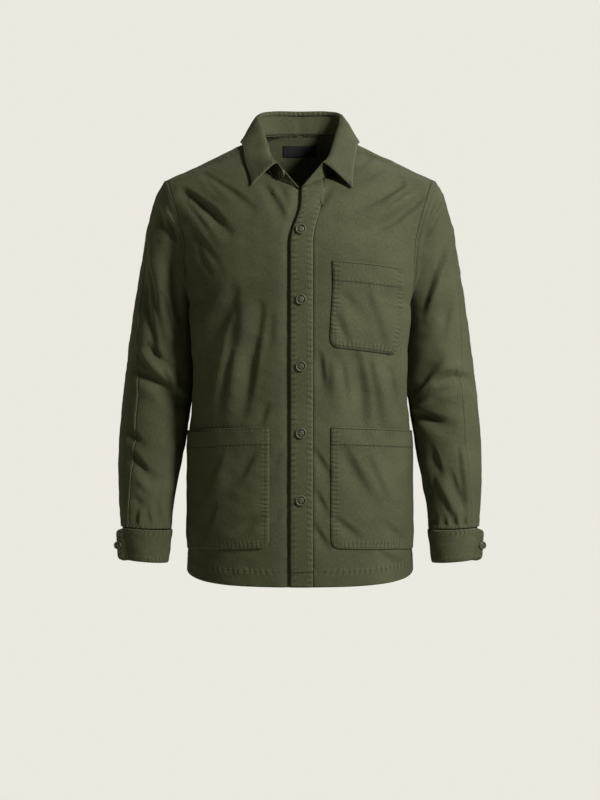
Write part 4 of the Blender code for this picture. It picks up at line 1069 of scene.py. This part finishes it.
def makeLeaf(inwardTop):
    cut = collarCut
    under = wholeCollar(leafPoints, cut["leafLevels"])
    out = unit(np.cross(np.gradient(under, axis=0), np.gradient(under, axis=1)))
    over = np.stack([under[:, 0] + inwardTop * a + np.array((0, 0, b)) for a, b in cut["overTop"]], axis=1)
    outer = under + out * cut["leafThick"]
    along, toLeft, fall, toFree = fromEdges(outer)
    ends = np.minimum(along, toLeft)
    edge = np.minimum(ends, toFree)
    rise, *spacing = cut["leafWave"]
    wave = rise * puckers(np.where(ends < toFree, fall, along), along, *spacing)
    uneven, seed, *waves = cut["leafGround"]
    crown = 0.5 * ease(0, 6, edge) + wave * ease(13, 5, edge) * ease(0, 2, edge)
    crown = crown + uneven * ripples(seed, along, fall, *waves) * ease(6, 20, edge)
    whole = np.concatenate([over, outer + out * (crown - 0.4)[..., None]], axis=1)
    along, toLeft, fall, toFree = fromEdges(whole)
    ends = np.minimum(along, toLeft)
    edge = np.minimum(ends, toFree)
    lines = [(cut["leafStitch"] - edge, np.maximum(ends, toFree)), (cut["topStitch"] - fall, along)]
    piece = clothPiece("collar_leaf_cloth", whole, cut["leafWall"], twill, lines, (700, 0), True, (), edge, 8.5)
    layCloth(piece, "collar_leaf", along[:, -1], fall, "folded", gridArea(whole))
    leafOut = np.concatenate([np.repeat(out[:, :1], len(cut["overTop"]), axis=1), out], axis=1)
    past = cut["leafStitch"] - 0.2
    sewLine(whole, leafOut, toFree, cut["leafStitch"], 1, ends >= past)
    for field in (along, toLeft):
        sewLine(whole, leafOut, field, cut["leafStitch"], 0, (toFree >= past) & (fall > 12))
    sewLine(whole, np.repeat(inwardTop[:, None], whole.shape[1], axis=1), fall, cut["topStitch"], 1)


# neck label
labelCut = {
    "width": 59.0, "z": (7.0, -12.0), "columns": 60, "rows": 20, "wall": 0.6, "lift": 2.45, "belly": 0.45,
    "ground": (0.2, 41, 5, 30, 14), "stitch": 1.2, "stands": 0.4,
}


def makeLabel():
    cut = labelCut
    across, z = np.linspace(-1, 1, cut["columns"]) * cut["width"] / 2, np.linspace(*cut["z"], cut["rows"])
    x, z = np.meshgrid(across, z)
    u, w = findOnTorso(np.stack([np.abs(x), np.zeros_like(x), z], axis=-1), np.full_like(x, neckBack + 0.3))
    point, normal = torso(u, w, 1)
    flip = np.where(x < 0, -1.0, 1.0)[..., None] * (1, 0, 0) + (0, 1, 1)
    point, normal = point * flip, -normal * flip
    down, up, across, toEnd = fromEdges(point)
    edge = np.minimum(np.minimum(across, toEnd), np.minimum(down, up))
    uneven, seed, *waves = cut["ground"]
    lift = cut["lift"] + cut["belly"] * ease(0, 5, edge) + uneven * ripples(seed, across, down, *waves)
    outer = point + normal * (lift + cut["stands"])[..., None]
    lines = [(cut["stitch"] - edge, across)]
    piece = clothPiece("neck_label_cloth", outer, cut["wall"], labelFinish, lines, (0, 0), flip=True)
    dress(piece, "neck_label")


# buttons and buttonholes
buttonCut = {
    "z": (-160, -274, -382, -491, -600), "x": 1.5, "radius": 8.75, "thick": 3.0, "seat": 0.45, "cuffRadius": 6.5,
    "standSeat": 1.2, "hole": 1.05, "holeApart": 2.0, "holeDepth": 0.25, "holeLevel": 0.60, "ring": 64,
    # sunk: the radii of the button's groove, which is painted in shade
    "base": 0.88, "sunk": (0.54, 0.70), "threadTurns": (45, -45), "threadSize": (3.1, 0.62, 0.75),
    "threadLevel": 0.66, "shank": (1.9, 1.7), "cuffTurn": 10, "standTurn": 20, "frontTurn": 7,
    # profile from the middle out: share of the radius, share of the thickness
    "profile": (
        (0.30, 0.62), (0.44, 0.60), (0.52, 0.52), (0.58, 0.34), (0.66, 0.32), (0.72, 0.56), (0.77, 0.86), (0.84, 1.0),
        (0.93, 0.96), (0.98, 0.78), (1.0, 0.45),
    ),
    "under": (0.97, 0.14),
}


def makeButton(node, place, normal, radius, seat, slotTurn):
    # a dished disc with a rolled rim and painted shade in its groove, four sewing holes painted as dark discs of
    # shade, crossed threads and a thread shank
    cut, size = buttonCut, radius / buttonCut["radius"]
    thick, apart = cut["thick"] * size, cut["holeApart"] * size * mm
    turned = Vector(normal).to_track_quat("Z", "Y").to_matrix().to_4x4()
    moved = Matrix.Translation((place + normal * seat) * mm)
    bm = bmesh.new()
    bmesh.ops.create_circle(bm, cap_ends=True, segments=cut["ring"], radius=radius * cut["base"] * mm)
    base = bm.faces[:]
    for number, (share, level) in enumerate([cut["under"], *reversed(cut["profile"])]):
        grown = bmesh.ops.extrude_face_region(bm, geom=base)["geom"]
        if number:
            bmesh.ops.delete(bm, geom=base, context="FACES_ONLY")
        base = [g for g in grown if isinstance(g, bmesh.types.BMFace)]
        for v in {v for f in base for v in f.verts}:
            v.co.xy = v.co.xy * (radius * share * mm / v.co.to_2d().length)
            v.co.z = thick * level * mm
    bmesh.ops.recalc_face_normals(bm, faces=bm.faces)
    # the groove of the dish is marked for painted shade
    low, high = cut["sunk"]
    sunk = [float(low < v.co.to_2d().length / (radius * mm) < high) for v in bm.verts]
    # the sewing holes are dark discs of painted shade
    holes = bmesh.new()
    for sx, sy in ((-1, -1), (-1, 1), (1, -1), (1, 1)):
        hole = bmesh.ops.create_cone(
            holes, cap_ends=True, segments=14, radius1=cut["hole"] * size * mm, radius2=cut["hole"] * size * mm,
            depth=cut["holeDepth"] * mm,
        )["verts"]
        bmesh.ops.translate(holes, verts=hole, vec=(sx * apart, sy * apart, thick * cut["holeLevel"] * mm))
    threads = bmesh.new()
    long, wide, tall = cut["threadSize"]
    shape = np.array((apart * long, wide * size * mm, tall * size * mm))
    for angle in (np.radians(turn + slotTurn) for turn in cut["threadTurns"]):
        for v in bmesh.ops.create_icosphere(threads, subdivisions=2, radius=0.5)["verts"]:
            x, y, z = np.array(v.co) * shape
            x, y = x * np.cos(angle) - y * np.sin(angle), x * np.sin(angle) + y * np.cos(angle)
            v.co = (x, y, z + thick * cut["threadLevel"] * mm)
    low, high = (r * size * mm for r in cut["shank"])
    shank = bmesh.ops.create_cone(
        threads, cap_ends=True, segments=12, radius1=low, radius2=high, depth=(seat + 0.8) * mm
    )["verts"]
    bmesh.ops.translate(threads, verts=shank, vec=(0, 0, -(seat + 0.2) / 2 * mm))
    for word, part, finish in (("", bm, buttonFinish), ("_hole_shade", holes, holeShadeFinish), ("_thread", threads, thread)):
        name = f"{node}_disc{word}"
        mesh = meshFrom(part, name)
        mesh.transform(turned)
        mesh.transform(moved)
        piece = finishPiece(name, mesh, finish)
        if part is bm:
            mesh.attributes.new("sunk", "FLOAT", "POINT").data.foreach_set("value", np.array(sunk, np.float32))
            mesh.set_sharp_from_angle(angle=np.radians(50))
        dress(piece, None if word else node)


holeCut = {"past": 2.4, "pitch": 0.62, "lip": (0.3, 1.7)}
slits = []  # the shut slit of each buttonhole, laid last as one long dark stitch of painted shade


def workHole(place, along, normal, half):
    # close stitches over both lips of a shut slit, and a bar at each end
    beside = unit(np.cross(normal, along))
    facing = np.stack([normal, normal])
    near, far = holeCut["lip"]
    for t in np.arange(-half, half + 0.01, holeCut["pitch"]):
        for lip in (-1, 1):
            low = place + along * t + normal * 0.1
            sewnLines.append((np.array([low + beside * lip * near, low + beside * lip * far]), facing))
    for end in (-1, 1):
        low = place + along * end * (half + 0.4) + normal * 0.15
        sewnLines.append((np.array([low - beside * far, low + beside * far]), facing))
    # the slit's shade is painted as one dark stitch
    slits.append((np.array([place - along * half, place + along * half]) + normal * 0.05, facing))


# finishes


def feed(tree, node, values):
    # a plain value is set on the socket, the output of another node is linked to it
    for place, value in values.items():
        if isinstance(value, (int, float, tuple)):
            node.inputs[place].default_value = value
        else:
            tree.links.new(value, node.inputs[place])


def newNode(tree, kind, values, **settings):
    node = tree.nodes.new(f"ShaderNode{kind}")
    for label, value in settings.items():
        setattr(node, label, value)
    feed(tree, node, values)
    return node.outputs


def newGroup(name, inputs, outputs):
    # inputs with a default value are numbers, those without are places
    group = bpy.data.node_groups.new(name, "ShaderNodeTree")
    for label, value in inputs.items():
        kind = "NodeSocketVector" if value is None else "NodeSocketFloat"
        socket = group.interface.new_socket(name=label, in_out="INPUT", socket_type=kind)
        if value is not None:
            socket.default_value = value
    for label in outputs:
        group.interface.new_socket(name=label, in_out="OUTPUT", socket_type="NodeSocketFloat")
    return group, group.nodes.new("NodeGroupInput").outputs, group.nodes.new("NodeGroupOutput")


def mathNode(tree, operation, *values, clamp=False):
    return newNode(tree, "Math", dict(enumerate(values)), operation=operation, use_clamp=clamp)[0]


def product(tree, *values):
    whole = values[0]
    for value in values[1:]:
        whole = mathNode(tree, "MULTIPLY", whole, value)
    return whole


def bellNode(tree, value, width):
    # 1 in the middle, fading out over the width
    share = mathNode(tree, "DIVIDE", value, width)
    return mathNode(tree, "EXPONENT", product(tree, share, share, -1.0))


def mixColour(tree, factor, first, second):
    return newNode(tree, "Mix", {0: factor, 6: first, 7: second}, data_type="RGBA")[2]


def noiseNode(tree, vector, scale, detail=2.0, roughness=0.5):
    values = {"Vector": vector, "Scale": scale, "Detail": detail, "Roughness": roughness}
    return newNode(tree, "TexNoise", values)["Fac"]


def stretched(tree, vector, scale):
    return newNode(tree, "Mapping", {"Vector": vector, "Scale": scale})[0]


def attribute(tree, name):
    return newNode(tree, "Attribute", {}, attribute_name=name)["Fac"]


def clothMap(tree):
    return newNode(tree, "UVMap", {}, uv_map="cloth")[0]


def ownPlace(tree):
    return newNode(tree, "TexCoord", {})["Object"]


def bumped(tree, height, distance, **below):
    return newNode(tree, "Bump", {"Strength": 1.0, "Distance": distance, "Height": height, **below})[0]


def startMaterial(name):
    made = bpy.data.materials.new(name)
    made.use_nodes = True
    return made, made.node_tree, made.node_tree.nodes["Principled BSDF"]


def makeTwillGroup():
    # diagonal ribs of the twill, broken up by uneven yarns; the map runs in metres
    group, came, gives = newGroup("twill weave", {"Cloth": None, "Rib": 0.0011, "Broken": 0.5}, ("Height", "Yarn"))
    calc, cloth = partial(mathNode, group), came["Cloth"]
    cut = newNode(group, "SeparateXYZ", {0: cloth})
    lean = calc("MULTIPLY_ADD", cut[1], -0.62, cut[0])
    lean = calc("MULTIPLY_ADD", noiseNode(group, cloth, 160, 2), 0.0009, lean)
    rib = calc("SINE", product(group, calc("DIVIDE", lean, came["Rib"]), 6.2832))
    yarns = noiseNode(group, stretched(group, cloth, (1.0, 0.16, 1.0)), 1500, 2, 0.6)
    weft = noiseNode(group, stretched(group, cloth, (0.2, 1.0, 1.0)), 900, 2, 0.6)
    yarn = calc("MULTIPLY_ADD", weft, 0.45, product(group, yarns, 0.55))
    broken = product(group, calc("SUBTRACT", yarn, 0.5), came["Broken"], 2.0)
    height = calc("MULTIPLY_ADD", calc("MULTIPLY_ADD", rib, 0.5, 0.5), 0.5, broken)
    feed(group, gives, {"Height": height, "Yarn": yarn})
    return group


def makePuckerGroup():
    # waves that the thread draws into the cloth, the dent under the thread, the pale wear on them, and painted shade
    # in the valleys between the waves and in the dent
    group, came, gives = newGroup(
        "seam pucker",
        {"Seam": 0.0, "Run": 0.0, "Cloth": None, "Length": 0.0078, "Reach": 0.005, "Force": 1.0, "Crease": 1.0},
        ("Height", "Wear", "Shade"),
    )
    calc, cloth = partial(mathNode, group), came["Cloth"]
    gap = calc("ABSOLUTE", came["Seam"])
    uneven = calc("MULTIPLY_ADD", noiseNode(group, cloth, 26, 2), 9.0, -4.5)
    drift = product(group, calc("ADD", uneven, product(group, came["Seam"], 120.0)), 0.5)
    angle = calc("MULTIPLY_ADD", calc("DIVIDE", came["Run"], came["Length"]), 3.1416, drift)
    # round crests with narrow valleys between them
    wave = calc("ABSOLUTE", calc("SINE", angle))
    strength = calc("MULTIPLY_ADD", noiseNode(group, cloth, 34, 1), 2.4, -0.55, clamp=True)
    force = product(group, strength, bellNode(group, gap, came["Reach"]), came["Force"])
    dent = product(group, bellNode(group, gap, 0.0011), came["Crease"])
    valley = calc("POWER", calc("SUBTRACT", 1.0, wave), 1.6)
    feed(group, gives, {
        "Height": calc("MULTIPLY_ADD", dent, -0.0003, product(group, wave, force, 0.0008)),
        "Wear": product(group, calc("POWER", wave, 2.0), force),
        # Shade is painted shade: darker in the valleys between the puckers and along the dent under the thread
        "Shade": calc("MAXIMUM", product(group, valley, force), product(group, dent, 0.55)),
    })
    return group


twillLook = {
    "deep": (0.070, 0.074, 0.037, 1), "raised": (0.140, 0.144, 0.083, 1), "pale": (0.20, 0.20, 0.125, 1),
    # shade is the colour of the painted shade in the pucker valleys and the thread dents
    "shade": (0.0315, 0.0333, 0.01665, 1), "sheenTint": (0.75, 0.76, 0.6, 1), "roughness": 0.88, "sheen": 0.03,
    "sheenRoughness": 0.5, "specular": 0.12, "rim": 0.0017, "rimPale": 1.9, "paleShare": 0.4, "paintedShadeShare": 0.72,
    # attributes of the two kinds of sewn line, the force of their puckers and the depth of their crease, which also
    # sets how dark its painted shade is
    "sewn": (("seam", "run", 1.0, 0.8), ("crossSeam", "crossRun", 0.5, 2.1)),
    "bumps": {"crumple": 0.0007, "pucker": 1.0, "flecks": 0.00022, "weave": 0.00016},
}


def makeTwill(name):
    made, tree, shader = startMaterial(name)
    look, calc, cloth, place = twillLook, partial(mathNode, tree), clothMap(tree), ownPlace(tree)
    weave = newNode(tree, "Group", {"Cloth": cloth}, node_tree=weaveGroup)
    first, second = (
        newNode(tree, "Group", {
            "Force": force, "Crease": crease, "Cloth": cloth,
            "Seam": attribute(tree, seam), "Run": attribute(tree, run),
        }, node_tree=puckerGroup)
        for seam, run, force, crease in look["sewn"]
    )
    pucker = calc("ADD", first["Height"], second["Height"])
    wear, shade = (calc("MAXIMUM", first[label], second[label]) for label in ("Wear", "Shade"))
    rim = bellNode(tree, attribute(tree, "edge"), look["rim"])
    rim = product(tree, rim, calc("MULTIPLY_ADD", noiseNode(tree, cloth, 180, 2), 0.9, 0.1), look["rimPale"])
    # washed unevenness: broad clouds and small flecks
    clouds = calc("MULTIPLY_ADD", noiseNode(tree, place, 9, 3, 0.6), 0.7, 0.65)
    flecks = noiseNode(tree, stretched(tree, cloth, (1.0, 0.45, 1.0)), 420, 3, 0.7)
    flecks = calc("MULTIPLY_ADD", flecks, 0.9, 0.55)
    colour = mixColour(tree, weave["Yarn"], look["deep"], look["raised"])
    colour = newNode(tree, "VectorMath", {0: colour, "Scale": product(tree, clouds, flecks)}, operation="SCALE")[0]
    colour = mixColour(tree, product(tree, calc("MAXIMUM", rim, wear), look["paleShare"]), colour, look["pale"])
    # painted shade laid over the pucker valleys and the dents under the thread
    colour = mixColour(tree, product(tree, shade, look["paintedShadeShare"]), colour, look["shade"])
    normal = bumped(tree, noiseNode(tree, place, 75, 3, 0.6), look["bumps"]["crumple"])
    for height, word in ((pucker, "pucker"), (flecks, "flecks"), (weave["Height"], "weave")):
        normal = bumped(tree, height, look["bumps"][word], Normal=normal)
    feed(tree, shader, {
        "Base Color": colour, "Normal": normal, "Sheen Weight": look["sheen"], "Sheen Tint": look["sheenTint"],
        "Sheen Roughness": look["sheenRoughness"], "Specular IOR Level": look["specular"],
        "Roughness": calc("MULTIPLY_ADD", flecks, -0.12, look["roughness"] + 0.12),
    })
    return made


def makeThread(name, colour):
    made, tree, shader = startMaterial(name)
    twist = noiseNode(tree, ownPlace(tree), 900, 2)
    low, high = (tuple(c * share for c in colour) + (1,) for share in (0.7, 1.35))
    feed(tree, shader, {
        "Base Color": mixColour(tree, twist, low, high), "Normal": bumped(tree, twist, 0.0002), "Roughness": 0.6,
        "Sheen Weight": 0.2,
    })
    return made


def makeButtonFinish(name, colour, pale, deep):
    made, tree, shader = startMaterial(name)
    place = ownPlace(tree)
    marble = noiseNode(tree, place, 130, 4, 0.65)
    body = mixColour(tree, mathNode(tree, "MULTIPLY_ADD", marble, 2.4, -0.7, clamp=True), colour, pale)
    # painted shade darkens the groove marked as sunk
    feed(tree, shader, {
        "Base Color": mixColour(tree, product(tree, attribute(tree, "sunk"), 0.85), body, deep),
        "Roughness": mathNode(tree, "MULTIPLY_ADD", marble, 0.25, 0.3), "Specular IOR Level": 0.5,
        "Normal": bumped(tree, noiseNode(tree, place, 700, 2), 0.00008),
    })
    return made


def makeLabelFinish(name, deep, raised):
    made, tree, shader = startMaterial(name)
    weave = newNode(tree, "Group", {"Rib": 0.0006, "Cloth": clothMap(tree)}, node_tree=weaveGroup)
    feed(tree, shader, {
        "Base Color": mixColour(tree, weave["Yarn"], deep, raised), "Roughness": 0.75, "Sheen Weight": 0.15,
        "Normal": bumped(tree, weave["Height"], 0.00015),
    })
    return made


weaveGroup, puckerGroup = makeTwillGroup(), makePuckerGroup()
twill = makeTwill("olive twill")
thread = makeThread("olive thread", (0.17, 0.172, 0.108))
# the last colour is the painted shade of the button's groove
buttonFinish = makeButtonFinish(
    "olive button", (0.10, 0.096, 0.055, 1), (0.17, 0.16, 0.10, 1), (0.02, 0.019, 0.01, 1)
)
# painted shade for the button's sewing holes and the buttonhole slits
holeShadeFinish = makeThread("painted hole shade", (0.012, 0.012, 0.008))
labelFinish = makeLabelFinish("black label", (0.003, 0.003, 0.003, 1), (0.014, 0.014, 0.014, 1))
print("finishes ready")

# putting it together
rightFront = makeFront(-1, "right")
leftFront = makeFront(1, "left")
print("fronts done")
for node, front, low, top, columns, topBand, corners, freeEnd in (
    ("pocket_right", rightFront, "pocketLow", "pocketTop", (1, 3), 29.0, [(0, 0)], False),
    ("pocket_left", leftFront, "pocketLow", "pocketTop", (1, 3), 29.0, [(0, 0)], False),
    ("pocket_chest", leftFront, "chestLow", "chestTop", (1, 2), 33.0, [(0, 0), (0, -1)], True),
):
    rows, columns = [front["rows"][word] for word in (low, top)], [front["columns"][k] for k in columns]
    makePocket(node, front, rows, columns, topBand, corners, freeEnd)
makePlacket(leftFront)
print("pockets and placket done")
makeBack()
print("back done")
layStitches("stitches_body", thread)
for side, word in ((-1, "right"), (1, "left")):
    makeSleeve(side, word)
    cuffOuter, cuffNormal = makeCuff(side, word)
    middle = len(cuffOuter) // 2
    makeButton(
        f"button_cuff_{word}", cuffOuter[middle, 1:3].mean(0), cuffNormal[middle, 1],
        buttonCut["cuffRadius"], buttonCut["seat"], buttonCut["cuffTurn"],
    )
print("sleeves and cuffs done")
makeLeaf(makeStand())
makeLabel()
buttonZ = np.array(buttonCut["z"], float)
places, facings = placketPoints(np.full(len(buttonZ), buttonCut["x"]), buttonZ)
below, _ = placketPoints(np.full(len(buttonZ), buttonCut["x"]), buttonZ - 4)
for number, (place, low, facing) in enumerate(zip(places, below, facings), 1):
    onTop = place + facing * (frontCut["plackRaise"] + 0.5)
    workHole(onTop, unit(low - place), facing, buttonCut["radius"] + holeCut["past"])
    makeButton(
        f"button_front_{number}", onTop + facing * 0.1, facing, buttonCut["radius"], buttonCut["seat"] - 0.4,
        buttonCut["frontTurn"] * number,
    )
k, v = np.array((0.42,)), np.array((0.46,))
place, ahead = standPoints(k, v, 1)[0], standPoints(k + 0.05, v, 1)[0]
workHole(place, unit(ahead - place), -standInward(k, 1)[0], buttonCut["cuffRadius"] + holeCut["past"])
makeButton(
    "button_stand", standPoints(k, v, -1)[0], -standInward(k, -1)[0], buttonCut["cuffRadius"],
    buttonCut["standSeat"], buttonCut["standTurn"],
)
layStitches("stitches_sleeves_collar", thread)
sewnLines.extend(slits)
layStitches("buttonhole_slit_shade", holeShadeFinish)
print("buttons done")

# floor, light and camera
studio = {
    "view": (0, -3.0, -0.437), "lens": 79.41, "backdrop": (0.838, 0.811, 0.738), "ambient": 0.03,
    "floorZ": -1.85, "floorRadius": 3.0,
    # degrees round from the front towards the wearer's left, degrees up, size, distance, power, colour
    "lights": (
        ("key", 48, 27, 0.6, 2.6, 64, (1.0, 0.99, 0.97)),
        ("side", 85, 8, 0.9, 2.6, 8, (1.0, 0.99, 0.96)),
        ("fill", -60, 10, 1.0, 3.2, 5, (1.0, 1.0, 0.74)),
        ("edge", -115, 20, 1.0, 3.2, 15, (1.0, 1.0, 0.8)),
        ("back", 160, 40, 1.4, 3.2, 34, (1.0, 1.0, 0.95)),
    ),
    "aim": (0, 0, -0.24),
}


def makeStudio():
    camera = bpy.data.cameras.new("photo view")
    camera.lens, camera.sensor_width, camera.clip_end = studio["lens"], 36, 50
    holder = bpy.data.objects.new("photo view", camera)
    holder.location, holder.rotation_euler = studio["view"], (np.radians(90), 0, 0)
    bpy.context.scene.collection.objects.link(holder)
    bpy.context.scene.camera = holder
    for name, turn, lift, size, away, power, colour in studio["lights"]:
        light = bpy.data.lights.new(name, "AREA")
        light.shape, light.size, light.energy, light.color = "DISK", size, power, colour
        lamp = bpy.data.objects.new(name, light)
        turn, lift = np.radians(turn), np.radians(lift)
        toLamp = Vector((np.sin(turn) * np.cos(lift), -np.cos(turn) * np.cos(lift), np.sin(lift)))
        lamp.location = Vector(studio["aim"]) + toLamp * away
        lamp.rotation_euler = toLamp.to_track_quat("Z", "Y").to_euler()
        lamp.visible_camera = False
        bpy.context.scene.collection.objects.link(lamp)
    world = bpy.data.worlds.new("studio")
    world.use_nodes = True
    tree = world.node_tree
    shown, lit = tree.nodes["Background"], tree.nodes.new("ShaderNodeBackground")
    shown.inputs[0].default_value = (*studio["backdrop"], 1)
    lit.inputs[0].default_value = (0.8, 0.82, 0.6, 1)
    lit.inputs[1].default_value = studio["ambient"]
    mix, ray = tree.nodes.new("ShaderNodeMixShader"), tree.nodes.new("ShaderNodeLightPath")
    tree.links.new(ray.outputs["Is Camera Ray"], mix.inputs[0])
    tree.links.new(lit.outputs[0], mix.inputs[1])
    tree.links.new(shown.outputs[0], mix.inputs[2])
    tree.links.new(mix.outputs[0], tree.nodes["World Output"].inputs[0])
    bpy.context.scene.world = world
    bpy.context.scene.view_settings.view_transform = "Standard"
    bm = bmesh.new()
    bmesh.ops.create_circle(bm, cap_ends=True, segments=96, radius=studio["floorRadius"])
    bmesh.ops.translate(bm, verts=bm.verts[:], vec=(0, 0, studio["floorZ"]))
    mesh = bpy.data.meshes.new("floor")
    bm.to_mesh(mesh)
    bm.free()
    pale, tree, shader = startMaterial("pale floor")
    shader.inputs["Base Color"].default_value = (*studio["backdrop"], 1)
    shader.inputs["Roughness"].default_value = 0.9
    finishPiece("floor", mesh, pale)


makeStudio()
print("studio ready")
